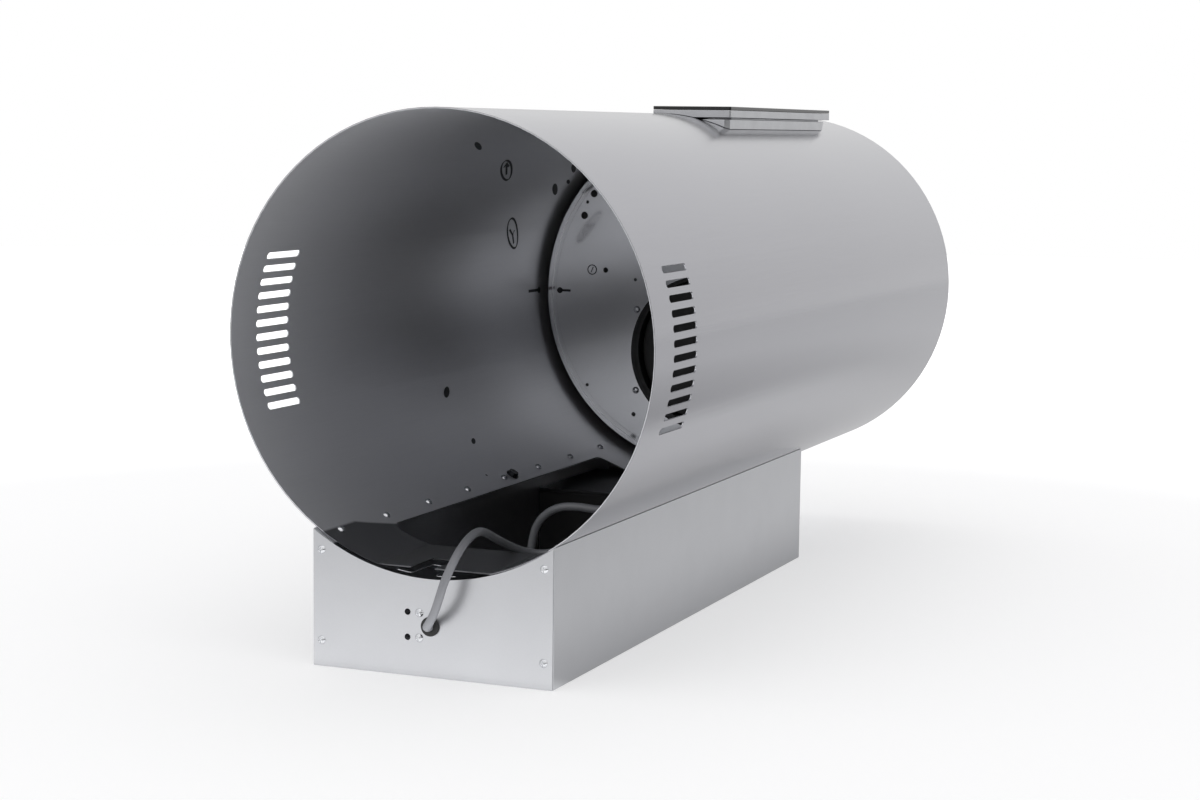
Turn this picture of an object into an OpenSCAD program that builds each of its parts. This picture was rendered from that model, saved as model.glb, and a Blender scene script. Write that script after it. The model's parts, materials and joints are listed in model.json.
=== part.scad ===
// Cylindrical range hood, lying on the wall face of its rear box.
// +Y runs along the cylinder from the open vent end to the intake end, +Z points away from the wall.
// The origin is the middle of the wall face.

/* [Cylinder] */
// Outer radius of the cylinder
tube_r = 175; // [150:1:200]
// Length of the cylinder
tube_len = 860; // [800:5:1000]
// Thickness of the sheet that the cylinder and the rear box are folded from
sheet_t = 1; // [0.8:0.1:1.5]
// Width of the flat stretch along the seam
seam_w = 94; // [60:1:110]
// Length of the service cut-out
cutout_len = 437; // [300:1:440]
// Width of the service cut-out
cutout_w = 163; // [120:1:164]
// Distance from the rim to the service cut-out
cutout_start = 88; // [60:1:100]
// Corner radius of the service cut-out
cutout_corner = 12; // [4:1:20]

/* [Vents] */
// Vent slots on each side
vent_count = 12; // [4:1:14]
// Length of a vent slot
vent_len = 50; // [30:1:60]
// Width of a vent slot
vent_w = 5.6; // [3:0.1:7]
// Distance between neighbouring slots, round the cylinder
vent_pitch = 11; // [9:0.5:12]
// Distance from the rim to the slots
vent_start = 37.5; // [20:0.5:50]

/* [Rear box] */
// Width of the rear box
box_w = 200; // [180:1:210]
// Length of the rear box over its end plates
box_len = 600; // [560:1:640]
// Distance from the wall to the cylinder
wall_gap = 75; // [70:1:90]
// Distance that the rim is set back behind the front end plate's face
rim_set_back = 5; // [4:0.5:10]
// Thickness of the end plates
plate_t = 1.2; // [1:0.1:2]
// Spacing of the screws that join the cylinder to the box
screw_pitch = 75; // [60:1:78]
// Screws in each of those rows
row_screws = 8; // [2:1:8]
// Distance from the rim to the first of those screws
row_start = 22.5; // [15:0.5:30]
// Spacing of the wall holes across the box
wall_hole_dx = 140; // [100:1:150]
// Spacing of the wall holes along the box
wall_hole_dy = 500; // [400:1:520]
// Radius of the wall holes
wall_hole_r = 4; // [3:0.5:5]

/* [Outlet] */
// Radius of the duct outlet
outlet_r = 75; // [60:1:75]
// Depth of the outlet's drawn collar
collar_len = 12; // [8:1:16]
// Length of the cylinder behind the outlet plate
outlet_room = 269; // [264:1:280]
// Space between the cylinder and the blower casing
casing_space = 7.2; // [6:0.2:10]
// Length of the cylinder behind the blower casing
casing_room = 52.8; // [50:0.2:60]

/* [Blower] */
// Radius of the impeller
impeller_r = 74; // [60:1:75]
// Width of the impeller
impeller_w = 100; // [80:1:104]
// Blades of the impeller
blade_count = 36; // [24:1:42]
// Radius of the motor
motor_r = 41; // [34:1:44]
// Radius of the motor shaft
shaft_r = 4; // [3:0.5:5]

/* [Intake] */
// Width of the fascia beyond the corners of the square grease filter's opening
fascia_rim = 13.2; // [10:0.1:30]
// Thickness of the grease filter
filter_t = 10; // [8:0.5:12]
// Distance that the intake fascia is set back from the cylinder's end
fascia_set_back = 12; // [8:1:20]
// Radius of a lamp
lamp_r = 26; // [20:1:26]

/* [Touch panel] */
// Width of the touch panel
panel_w = 75; // [60:1:80]
// Length of the touch panel
panel_len = 306; // [250:1:320]
// Length of the cylinder behind the touch panel
panel_room = 99; // [80:1:120]
// Sideways distance from the cylinder's axis to the middle of the touch panel
panel_x = 32.5; // [-40:0.5:40]
// Height of the touch panel's glass face above the cylinder's crown
panel_rise = 6.6; // [5:0.1:12]
// Thickness of the glass
glass_t = 3; // [2:0.1:4]

/* [Mains cord] */
// Diameter of the cord
cord_d = 6.5; // [5:0.1:7]

/* [Hidden] */

// Fits and overruns
seat_gap = 0.2;
run_gap = 0.08;
seat_lift = 0.05;
pin_gap = 0.02;
over = 0.5;
round_fn = 96;
small_fn = 32;

// Places in the part's frame
rim_y = rim_set_back - box_len / 2;
axis_z = wall_gap + tube_r;
front_d = -rim_set_back;
back_d = front_d + box_len;
outlet_d = tube_len - outlet_room;
panel_start = tube_len - panel_room - panel_len;
panel_mid_y = rim_y + panel_start + panel_len / 2;
floor_z = sheet_t;

// Sets children on the cylinder's axis at distance d from the rim, their z running along the axis
module along(d) {
    translate([0, rim_y + d, axis_z]) rotate([-90, 0, 0]) children();
}

// Extrudes an outline seen from the rim end, x to the right and y up, from distance d by length l
module slab(d, l) {
    along(d) linear_extrude(l) mirror([0, 1]) children();
}

// Sets children at angle a round the axis and distance d from the rim, their z pointing outwards
module around(a, d) {
    translate([0, rim_y + d, axis_z]) rotate([0, 90 - a, 0]) children();
}

// A slot of length l along y and width w, with round ends
module slot(l, w) {
    square([w, l - w], center = true);
    for (s = [-1, 1]) translate([0, s * (l - w) / 2]) circle(d = w, $fn = small_fn);
}

// A rectangle of size s with corners of radius r
module round_rect(s, r) {
    square([s[0] - 2 * r, s[1]], center = true);
    square([s[0], s[1] - 2 * r], center = true);
    for (x = [-1, 1], y = [-1, 1])
        translate([x * (s[0] / 2 - r), y * (s[1] / 2 - r)]) circle(r = r, $fn = small_fn);
}

// Pan-head screw, its head's seat at z zero, its shank running to negative z
screw_r = 1.75;
head_r = 3.4;
head_h = 2.2;
recess_w = 0.8;
recess_depth = 1.1;
recess_len = 4;
hole_gap = 0.15;
module pan_screw(shank_l) {
    dome_r = (head_r * head_r + head_h * head_h) / (2 * head_h);
    difference() {
        union() {
            rotate_extrude($fn = small_fn) intersection() {
                translate([0, head_h - dome_r]) circle(r = dome_r, $fn = round_fn);
                square([head_r, head_h]);
            }
            translate([0, 0, -shank_l]) cylinder(r = screw_r, h = shank_l + recess_depth / 2, $fn = small_fn);
        }
        for (a = [0, 90]) rotate([0, 0, a])
            translate([-recess_len / 2, -recess_w / 2, head_h - recess_depth])
                cube([recess_len, recess_w, recess_depth + over]);
    }
}

// Outer cylinder
tube_flat = sqrt(tube_r * tube_r - seam_w * seam_w / 4);
row_edge = 9.5;
row_x = box_w / 2 - row_edge;
row_angle = acos(row_x / (tube_r - sheet_t));
notch_w = 20;
notch_len = 37;
notch_x = -9;
panel_wire_r = 8;

// The cylinder's section, drawn in by inset
module tube_section(inset) {
    intersection() {
        circle(r = tube_r - inset, $fn = 2 * round_fn);
        translate([-tube_r, inset - tube_flat]) square(2 * tube_r);
    }
}

module vent_cuts() {
    step = vent_pitch / tube_r * 180 / PI;
    for (side = [0, 180], i = [0 : vent_count - 1])
        around(side + (i - (vent_count - 1) / 2) * step, vent_start + vent_len / 2)
            translate([0, 0, tube_r - sheet_t - over]) linear_extrude(sheet_t + 2 * over)
                slot(vent_len, vent_w);
}

// Sets children at every place of the two screw rows, their z pointing outwards
module screw_rows() {
    for (a = [row_angle - 180, -row_angle], i = [0 : row_screws - 1])
        around(a, row_start + i * screw_pitch) children();
}

module outer_cylinder() {
    color("silver") difference() {
        slab(0, tube_len) difference() {
            tube_section(0);
            tube_section(sheet_t);
        }
        vent_cuts();
        translate([0, rim_y + cutout_start + cutout_len / 2, axis_z - tube_r - over])
            linear_extrude(tube_r) round_rect([cutout_w, cutout_len], cutout_corner);
        translate([notch_x, rim_y, axis_z - tube_r - over]) linear_extrude(tube_r)
            square([notch_w, 2 * notch_len], center = true);
        screw_rows() translate([0, 0, tube_r - sheet_t - over])
            cylinder(r = screw_r + hole_gap, h = sheet_t + 2 * over, $fn = small_fn);
        translate([panel_x / 2, panel_mid_y, axis_z + tube_r - panel_wire_r])
            cylinder(r = panel_wire_r, h = 2 * panel_wire_r, $fn = small_fn);
        fascia_screw_places() translate([0, 0, -2 * sheet_t - over])
            cylinder(r = screw_r + hole_gap, h = 2 * sheet_t + 2 * over, $fn = small_fn);
    }
}

// Rear box: wall panel, sides, curved seat flanges and end tabs, folded from one sheet
seat_r = tube_r + seat_gap;
seat_w = 17;
tab_w = 16;
side_top = -sqrt(seat_r * seat_r - box_w * box_w / 4);
plate_hole_edge = 7.5;
plate_hole_x = box_w / 2 - plate_hole_edge;
plate_hole_low = 20;
plate_hole_drop = 16.1;
plate_hole_high = axis_z + side_top - plate_hole_drop;
shell_d = front_d + plate_t + seat_gap;
shell_len = box_len - 2 * plate_t - 2 * seat_gap;
module box_section() {
    difference() {
        union() {
            translate([-box_w / 2, -axis_z]) square([box_w, sheet_t]);
            for (s = [0, 1]) mirror([s, 0]) {
                translate([box_w / 2 - sheet_t, -axis_z]) square([sheet_t, axis_z + side_top]);
                intersection() {
                    circle(r = seat_r + sheet_t, $fn = 2 * round_fn);
                    translate([box_w / 2 - seat_w, -seat_r]) square([seat_w, seat_r]);
                }
            }
        }
        circle(r = seat_r, $fn = 2 * round_fn);
    }
}

module end_tabs() {
    difference() {
        for (s = [0, 1]) mirror([s, 0])
            translate([box_w / 2 - tab_w, -axis_z]) square([tab_w, plate_hole_high + tab_w / 2]);
        circle(r = seat_r, $fn = 2 * round_fn);
    }
}

module plate_holes(r) {
    for (x = [-plate_hole_x, plate_hole_x], z = [plate_hole_low, plate_hole_high])
        translate([x, z - axis_z]) circle(r = r, $fn = small_fn);
}

module rear_box() {
    color("silver") difference() {
        union() {
            slab(shell_d, shell_len) box_section();
            for (d = [shell_d, shell_d + shell_len - sheet_t]) slab(d, sheet_t) end_tabs();
        }
        screw_rows() translate([0, 0, seat_r - over])
            cylinder(r = screw_r + hole_gap, h = sheet_t + 2 * over, $fn = small_fn);
        slab(shell_d - over, shell_len + 2 * over) plate_holes(screw_r + hole_gap);
        for (x = [-1, 1], y = [-1, 1])
            translate([x * wall_hole_dx / 2, y * wall_hole_dy / 2, -over])
                cylinder(r = wall_hole_r, h = sheet_t + 2 * over, $fn = small_fn);
    }
}

// End plates and their screws
plate_inset = 0.4;
grommet_z = 39;
grommet_hole_r = 5.6;
clamp_x = -9.4;
clamp_pitch = 19.2;
spare_x = -19.2;
spare_hole_r = 2.4;
module plate_outline() {
    difference() {
        translate([plate_inset - box_w / 2, -axis_z]) square([box_w - 2 * plate_inset, axis_z + side_top]);
        circle(r = seat_r, $fn = 2 * round_fn);
        plate_holes(screw_r + hole_gap);
    }
}

module front_end_plate() {
    color("silver") slab(front_d, plate_t) difference() {
        plate_outline();
        translate([0, grommet_z - axis_z]) circle(r = grommet_hole_r, $fn = small_fn);
        for (s = [-1, 1]) {
            translate([clamp_x, grommet_z - axis_z + s * clamp_pitch / 2])
                circle(r = screw_r + hole_gap, $fn = small_fn);
            translate([spare_x, grommet_z - axis_z + s * clamp_pitch / 2])
                circle(r = spare_hole_r, $fn = small_fn);
        }
    }
}

module rear_end_plate() {
    color("silver") slab(back_d - plate_t, plate_t) plate_outline();
}

plate_screw_len = 8;
module end_plate_screws() {
    color("gainsboro") for (x = [-plate_hole_x, plate_hole_x], z = [plate_hole_low, plate_hole_high]) {
        translate([x, rim_y + front_d, z]) rotate([90, 0, 0]) pan_screw(plate_screw_len);
        translate([x, rim_y + back_d, z]) rotate([-90, 0, 0]) pan_screw(plate_screw_len);
    }
}

row_screw_len = 6;
module cylinder_screws() {
    color("gainsboro") screw_rows() translate([0, 0, tube_r - sheet_t - seat_lift]) rotate([180, 0, 0])
        pan_screw(row_screw_len);
}

// Earth screw with its washer, between two screws of the left row
earth_d = 340;
earth_head_r = 4.6;
earth_head_h = 3;
washer_r = 5.8;
washer_t = 0.8;
washer_lift = 0.12;
module earth_screw() {
    color("dimgray") around(row_angle - 180, earth_d)
    translate([0, 0, tube_r - sheet_t]) rotate([180, 0, 0]) {
        translate([0, 0, washer_lift]) cylinder(r = washer_r, h = washer_t, $fn = small_fn);
        difference() {
            translate([0, 0, washer_lift + washer_t]) cylinder(r = earth_head_r, h = earth_head_h, $fn = 6);
            translate([-earth_head_r, -recess_w / 2, washer_t + earth_head_h - recess_depth])
                cube([2 * earth_head_r, recess_w, recess_depth + over]);
        }
    }
}

// Rubber grommet in the front end plate
grommet_r = 7.4;
grommet_lip = 2.2;
grommet_bore_r = cord_d / 2 + run_gap;
module cable_grommet() {
    color([0.05, 0.05, 0.05]) translate([0, rim_y + front_d, grommet_z]) rotate([90, 0, 0])
        rotate_extrude($fn = round_fn) difference() {
            union() {
                translate([0, run_gap]) square([grommet_r - grommet_lip / 2, grommet_lip]);
                translate([0, run_gap]) square([grommet_r, grommet_lip / 2]);
                translate([grommet_r - grommet_lip / 2, run_gap + grommet_lip / 2])
                    circle(r = grommet_lip / 2, $fn = small_fn);
                translate([0, -plate_t - run_gap]) square([grommet_hole_r - run_gap, plate_t + 3 * run_gap]);
                translate([0, -plate_t - run_gap - grommet_lip]) square([grommet_r, grommet_lip]);
            }
            translate([-grommet_r, -2 * grommet_r]) square([grommet_r + grommet_bore_r, 4 * grommet_r]);
            translate([-grommet_r, -4 * grommet_r]) square([grommet_r, 8 * grommet_r]);
        }
}

// Cord clamp behind the front end plate, held by two screws
clamp_len = 9;
clamp_wall = 4;
clamp_base_y = rim_y + front_d + plate_t + run_gap + grommet_lip + seat_gap;
module cable_clamp() {
    half_w = cord_d / 2 + clamp_wall;
    half_h = clamp_pitch / 2 + clamp_wall;
    foot = clamp_base_y - rim_y - front_d - plate_t;
    color([0.12, 0.12, 0.12]) difference() {
        union() {
            translate([clamp_x - clamp_wall, clamp_base_y, grommet_z - half_h])
                cube([half_w - clamp_x + clamp_wall, clamp_len, 2 * half_h]);
            for (s = [-1, 1]) translate([clamp_x, clamp_base_y + over, grommet_z + s * clamp_pitch / 2])
                rotate([90, 0, 0]) cylinder(r = clamp_wall, h = foot + over, $fn = small_fn);
        }
        translate([0, clamp_base_y - over, grommet_z]) rotate([-90, 0, 0])
            cylinder(r = cord_d / 2 + run_gap, h = clamp_len + 2 * over, $fn = small_fn);
        for (s = [-1, 1])
            translate([clamp_x, clamp_base_y - foot - over, grommet_z + s * clamp_pitch / 2])
                rotate([-90, 0, 0]) cylinder(r = screw_r + run_gap, h = foot + clamp_len + 2 * over,
                    $fn = small_fn);
    }
}

clamp_screw_len = 10;
module clamp_screws() {
    color("gainsboro") for (s = [-1, 1])
        translate([clamp_x, rim_y + front_d, grommet_z + s * clamp_pitch / 2]) rotate([90, 0, 0])
            pan_screw(clamp_screw_len);
}

// Sweeping a round cord along a list of points
sweep_side = [0.3, 0.2, 0.9];
function unit(v) = v / norm(v);
function tangents(p) = [for (i = [0 : len(p) - 1]) unit(p[min(i + 1, len(p) - 1)] - p[max(i - 1, 0)])];
function carry(n, t) = unit(n - (n * t) * t);
function normals(t, n, i = 0) =
    i == len(t) ? [] : let(m = carry(n, t[i])) concat([m], normals(t, m, i + 1));

module swept_cord(path, r, sides) {
    t = tangents(path);
    n = normals(t, sweep_side);
    rings = len(path);
    points = [for (i = [0 : rings - 1], k = [0 : sides - 1])
        path[i] + r * (cos(360 * k / sides) * n[i] + sin(360 * k / sides) * cross(t[i], n[i]))];
    walls = [for (i = [0 : rings - 2], k = [0 : sides - 1])
        let(a = i * sides + k, b = i * sides + (k + 1) % sides)
            each [[a, a + sides, b], [b, a + sides, b + sides]]];
    caps = [for (k = [1 : sides - 2], last = (rings - 1) * sides)
        each [[0, k, k + 1], [last, last + k + 1, last + k]]];
    polyhedron(points = points, faces = concat(walls, caps));
}

// Coil of the mains cord on the box floor: in by one layer, up, and out again
coil_x = 45;
coil_y = -45;
coil_step = 7.2;
coil_r = 41.5;
coil_turns = 3.5;
tie_t = 1;
tie_w = 4;
tie_turn = 0.25;
coil_low = floor_z + 2 * seat_gap + tie_t + cord_d / 2;
coil_rings = 24;
function coil_point(u) = let(
        a = 180 - 360 * u,
        r = coil_r - coil_step * min(u, coil_turns - u),
        climb = min(max(2 * (u - coil_turns / 2) + 0.5, 0), 1))
    [coil_x + r * cos(a), coil_y + r * sin(a), coil_low + coil_step * climb];
coil_turn_path = [for (i = [0 : coil_turns * coil_rings]) coil_point(i / coil_rings)];
coil_start = coil_point(0) - [0, cord_d, 0];
coil_stop = coil_point(coil_turns) - [0, cord_d, 0];
coil_path = concat([coil_start], coil_turn_path, [coil_stop]);
coil_end = len(coil_path) - 1;
coil_gap = min([for (i = [0 : coil_end - coil_rings / 2], j = [i + coil_rings / 2 : coil_end])
    norm(coil_path[i] - coil_path[j])]) - cord_d;
echo("least gap between the coil's turns", coil_gap);

// Free stretch through the clamp and the grommet, over the rim, round a loop on the wall, into the box
cord_start = [0, clamp_base_y + clamp_len, grommet_z];
lead_route = [[0, -296, 39], [0, -303, 39], [2.5, -311, 41], [7.5, -317.5, 45.5], [13, -320.5, 54],
    [17, -321, 64.5], [20, -319, 76], [22.5, -313, 87], [23.5, -304, 95.5], [23.5, -293, 101.5],
    [23, -280, 105.5], [22.5, -266, 107], [22, -252, 104.5], [22, -238, 99], [22.3, -223, 93],
    [24, -209, 87], [28, -197, 82], [35, -188, 79], [44, -184, 79], [54, -185, 82.5], [64, -189, 89],
    [74, -194, 97], [84, -198, 105.5], [95, -199, 114], [105, -196, 122], [113, -188, 129],
    [118, -176, 133], [116, -164, 132], [109, -153, 126], [98, -146, 117], [86, -144, 112],
    [74, -145, 110], [50, -146, 111], [37, -146, 109], [26, -145, 103], [18, -144, 94], [14, -144, 83],
    [13, -145, 68], [16, -144, 54], [21, -140, 41], [23, -130, 29], [18, -116, 18], [10, -100, 10],
    [5, -80, 6.5], [3.5, -64, 5.7]];
module mains_cord_lead() {
    color("gray") swept_cord(concat([cord_start], lead_route, [coil_start - [0, cord_d, 0], coil_start]),
        cord_d / 2, 8);
}

module mains_cord_coil() {
    color("gray") swept_cord(coil_path, cord_d / 2, 6);
}

// Short stretch from the coil to the plug
tail_route = [[86.5, -64, 13], [85.5, -78, 14], [83, -93, 16.5], [80, -107, 19]];
plug_x = 78;
plug_end_y = -128;
plug_r = 19;
plug_len = 34;
plug_neck_r = 8;
plug_neck_len = 28;
pin_r = 2.4;
pin_len = 19;
pin_pitch = 19;
plug_z = floor_z + seat_gap + plug_r;
module mains_cord_tail() {
    color("gray") swept_cord(concat([coil_stop, coil_stop - [0, cord_d, 0]], tail_route,
        [[plug_x, plug_end_y + cord_d, plug_z], [plug_x, plug_end_y, plug_z]]), cord_d / 2, 8);
}

module mains_plug() {
    color("gray") translate([plug_x, plug_end_y, plug_z]) rotate([90, 0, 0]) {
        cylinder(r1 = cord_d / 2 + sheet_t, r2 = plug_neck_r, h = plug_neck_len, $fn = small_fn);
        translate([0, 0, plug_neck_len]) cylinder(r = plug_r, h = plug_len, $fn = round_fn);
        for (s = [-1, 1]) translate([s * pin_pitch / 2, 0, plug_neck_len + plug_len])
            cylinder(r = pin_r, h = pin_len, $fn = small_fn);
    }
}

// Tie round the coil's four strands, on the side away from the lead
module cord_tie() {
    inner = coil_step + cord_d + 2 * seat_gap;
    strands_r = coil_r - coil_step * (tie_turn + 1 / 2);
    color([0.1, 0.1, 0.1]) translate([coil_x, coil_y + strands_r, coil_low + coil_step / 2])
        rotate([0, 90, 0]) linear_extrude(tie_w, center = true) difference() {
            square(inner + 2 * tie_t, center = true);
            square(inner, center = true);
        }
}

// Supply lead inside the box, from the clamp to the control box
supply_route = [[0, -281, 39], [0, -270, 38], [-3, -250, 33], [-9, -220, 22], [-16, -190, 12],
    [-22, -160, 7], [-28, -120, 5], [-34, -80, 5], [-38, -40, 6], [-40, 0, 10], [-41, 30, 17],
    [-42, 60, 26], [-42, 90, 36], [-42, 106, 39.5]];
module supply_lead() {
    color("gray") swept_cord(concat([cord_start], supply_route,
        [for (k = [1, 0]) [box_entry_x, box_front_y - k * cord_d, box_entry_z]]), cord_d / 2, 8);
}

// Control box on the box floor, with its lid, power board and terminal block
ctrl_w = 88;
ctrl_len = 140;
ctrl_wall = 2;
ctrl_room = 34.8;
ctrl_d = back_d - plate_t - ctrl_room - ctrl_len;
ctrl_x = sheet_t + seat_gap + ctrl_w / 2 - box_w / 2;
ctrl_y = rim_y + ctrl_d + ctrl_len / 2;
ctrl_z = floor_z + seat_gap;
box_front_y = rim_y + ctrl_d;
box_entry_x = -42;
box_entry_z = 40;
lid_t = 3;
lid_space = 3.2;
ctrl_h = axis_z - tube_flat - lid_space - lid_t - ctrl_z;
board_t = 1.6;
board_inset = 4;
board_rise = 8;
post_r = 3;
post_inset = 12;
module control_box() {
    color([0.07, 0.07, 0.07]) difference() {
        union() {
            translate([ctrl_x, ctrl_y, ctrl_z]) linear_extrude(ctrl_h) difference() {
                square([ctrl_w, ctrl_len], center = true);
                square([ctrl_w - 2 * ctrl_wall, ctrl_len - 2 * ctrl_wall], center = true);
            }
            translate([ctrl_x, ctrl_y, ctrl_z]) linear_extrude(ctrl_wall)
                square([ctrl_w, ctrl_len], center = true);
            for (x = [-1, 1], y = [-1, 1])
                translate([ctrl_x + x * (ctrl_w / 2 - post_inset),
                        ctrl_y + y * (ctrl_len / 2 - post_inset), ctrl_z])
                    cylinder(r = post_r, h = board_rise, $fn = small_fn);
        }
        translate([box_entry_x, box_front_y + ctrl_wall - over, box_entry_z]) rotate([-90, 0, 0])
            cylinder(r = cord_d / 2, h = 2 * ctrl_wall, $fn = small_fn);
        translate([ctrl_x + ctrl_w / 2 - 2 * ctrl_wall, motor_exit_y, motor_exit_z]) rotate([0, 90, 0])
            cylinder(r = lead_d / 2, h = 2 * ctrl_wall - over, $fn = small_fn);
    }
}

module control_box_lid() {
    color([0.09, 0.09, 0.09]) translate([ctrl_x, ctrl_y, ctrl_z + ctrl_h]) {
        linear_extrude(lid_t) round_rect([ctrl_w, ctrl_len], ctrl_wall);
        translate([0, 0, -lid_t]) linear_extrude(lid_t) difference() {
            square([ctrl_w - 2 * ctrl_wall - 2 * seat_gap, ctrl_len - 2 * ctrl_wall - 2 * seat_gap],
                center = true);
            square([ctrl_w - 4 * ctrl_wall, ctrl_len - 4 * ctrl_wall], center = true);
        }
    }
}

relay_s = [16, 20, 15];
relay_pitch = 24;
supply_s = [36, 42, 26];
module power_board() {
    color("darkgreen") translate([ctrl_x, ctrl_y, ctrl_z + board_rise]) {
        linear_extrude(board_t)
            square([ctrl_w - 2 * ctrl_wall - board_inset, ctrl_len - 2 * ctrl_wall - board_inset],
                center = true);
        for (y = [-1, 0, 1]) translate([relay_s[0] / 2, y * relay_pitch, board_t])
            cube(relay_s);
        translate([-supply_s[0], 0, board_t]) cube(supply_s);
    }
}

block_s = [24, 44, 20];
block_poles = 3;
block_hole_r = 2.2;
module terminal_block() {
    color("ivory") translate([ctrl_x - supply_s[0] / 2, ctrl_y - ctrl_len / 4,
            ctrl_z + board_rise + board_t + block_s[2] / 2]) difference() {
        cube(block_s, center = true);
        for (i = [-1 : 1]) translate([0, i * block_s[1] / block_poles, 0]) {
            rotate([0, 90, 0]) cylinder(r = block_hole_r, h = 2 * block_s[0], center = true, $fn = small_fn);
            cylinder(r = block_hole_r, h = block_s[2], $fn = small_fn);
        }
    }
}

// Motor lead, from the control box up through the service cut-out and the bush in the outlet plate
lead_d = 6;
motor_exit_y = 218;
motor_exit_z = 50;
bush_x = 88;
bush_dz = -85;
bush_r = 6;
bush_lip = 2;
bush_len = 6;
motor_route = [[3, 218, 51], [14, 217, 54], [26, 215, 60], [37, 213, 68], [46, 212, 78], [54, 211, 89],
    [61, 211, 101], [68, 213, 113], [75, 218, 125], [80, 225, 136], [84, 234, 146], [87, 245, 154],
    [88, 258, 160], [88, 272, 164], [88, 284, 165], [88, 303, 165], [88, 318, 165], [88, 333, 167],
    [88, 348, 172], [88, 362, 182], [87, 375, 196], [86, 387, 211], [84, 396, 228], [79, 400, 239],
    [72, 400, 242]];
lead_entry_d = -20;
lead_entry_dz = -23;
module motor_lead() {
    start = [ctrl_x + ctrl_w / 2, motor_exit_y, motor_exit_z];
    end = [motor_end, rim_y + fan_d + lead_entry_d, axis_z + fan_dz + lead_entry_dz];
    color([0.15, 0.15, 0.15]) swept_cord(concat([start, start + [lead_d, 0, 0]], motor_route, [end]),
        lead_d / 2, 8);
}

module lead_bush() {
    color([0.05, 0.05, 0.05]) along(outlet_d) translate([bush_x, -bush_dz, 0]) difference() {
        union() {
            translate([0, 0, -bush_lip - run_gap])
                cylinder(r = bush_r + bush_lip, h = bush_lip, $fn = round_fn);
            translate([0, 0, -bush_lip])
                cylinder(r = bush_r - run_gap, h = bush_len + bush_lip, $fn = round_fn);
        }
        translate([0, 0, -2 * bush_lip]) cylinder(r = lead_d / 2 + run_gap, h = 2 * bush_len + 2 * bush_lip,
            $fn = small_fn);
    }
}

// Outlet plate across the cylinder, with its drawn collar, pressed groove and small holes
outlet_x = -2;
outlet_dz = -56;
outlet_plate_t = 1.2;
casing_r = tube_r - sheet_t - casing_space;
casing_len = outlet_room - outlet_plate_t - casing_room;
groove_edge = 4.8;
groove_w = 4;
groove_out = casing_r - groove_edge;
groove_in = groove_out - groove_w;
groove_t = 0.6;
ring_screw_r = 80;
ring_screw_angles = [30, 150, 210, 330];
small_hole_shares = [[-0.71, 0.58, 0.021], [-0.77, 0.45, 0.021], [-0.75, 0.53, 0.009], [-0.63, 0.13, 0.015],
    [-0.44, 0.08, 0.009], [-0.74, -0.56, 0.009], [-0.44, -0.72, 0.012], [0.66, 0.5, 0.015]];
module outlet_plate() {
    color("darkgray") along(outlet_d) difference() {
        union() {
            cylinder(r = casing_r, h = outlet_plate_t, $fn = 2 * round_fn);
            translate([outlet_x, -outlet_dz, 0])
                cylinder(r = outlet_r + outlet_plate_t, h = collar_len, $fn = 2 * round_fn);
        }
        translate([outlet_x, -outlet_dz, -over]) cylinder(r = outlet_r, h = collar_len + 2 * over,
            $fn = 2 * round_fn);
        translate([0, 0, -over]) difference() {
            cylinder(r = groove_out, h = groove_t + over, $fn = 2 * round_fn);
            translate([0, 0, -over]) cylinder(r = groove_in, h = groove_t + 3 * over, $fn = 2 * round_fn);
        }
        for (h = small_hole_shares) translate([h[0] * casing_r, -h[1] * casing_r, -over])
            cylinder(r = h[2] * casing_r, h = outlet_plate_t + 2 * over, $fn = small_fn);
        for (a = ring_screw_angles)
            translate([outlet_x + ring_screw_r * cos(a), -outlet_dz - ring_screw_r * sin(a), -over])
                cylinder(r = screw_r + hole_gap, h = outlet_plate_t + 2 * over, $fn = small_fn);
        translate([bush_x, -bush_dz, -over]) cylinder(r = bush_r, h = outlet_plate_t + 2 * over,
            $fn = small_fn);
    }
}

outlet_screw_len = 9;
module outlet_screws() {
    color("gainsboro") for (a = ring_screw_angles)
        along(outlet_d) translate([outlet_x + ring_screw_r * cos(a), -outlet_dz - ring_screw_r * sin(a), 0])
            rotate([180, 0, 0]) pan_screw(outlet_screw_len);
}

// Blower casing behind the outlet plate, and the spacers that carry it in the cylinder
spacer_w = 26;
spacer_len = 14;
spacer_inset = 30;
spacer_angles = [20, 90, 160, 235, 305];
module blower_casing() {
    color("darkgray") along(outlet_d + outlet_plate_t) linear_extrude(casing_len) difference() {
        circle(r = casing_r, $fn = 2 * round_fn);
        circle(r = casing_r - sheet_t, $fn = 2 * round_fn);
    }
}

module casing_spacers() {
    color([0.1, 0.1, 0.1]) slab(outlet_d + casing_len - spacer_inset, spacer_len)
        for (a = spacer_angles) intersection() {
            difference() {
                circle(r = tube_r - sheet_t - seat_gap, $fn = 2 * round_fn);
                circle(r = casing_r + seat_gap, $fn = 2 * round_fn);
            }
            rotate(a) translate([0, -spacer_w / 2]) square([tube_r, spacer_w]);
        }
}

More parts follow.
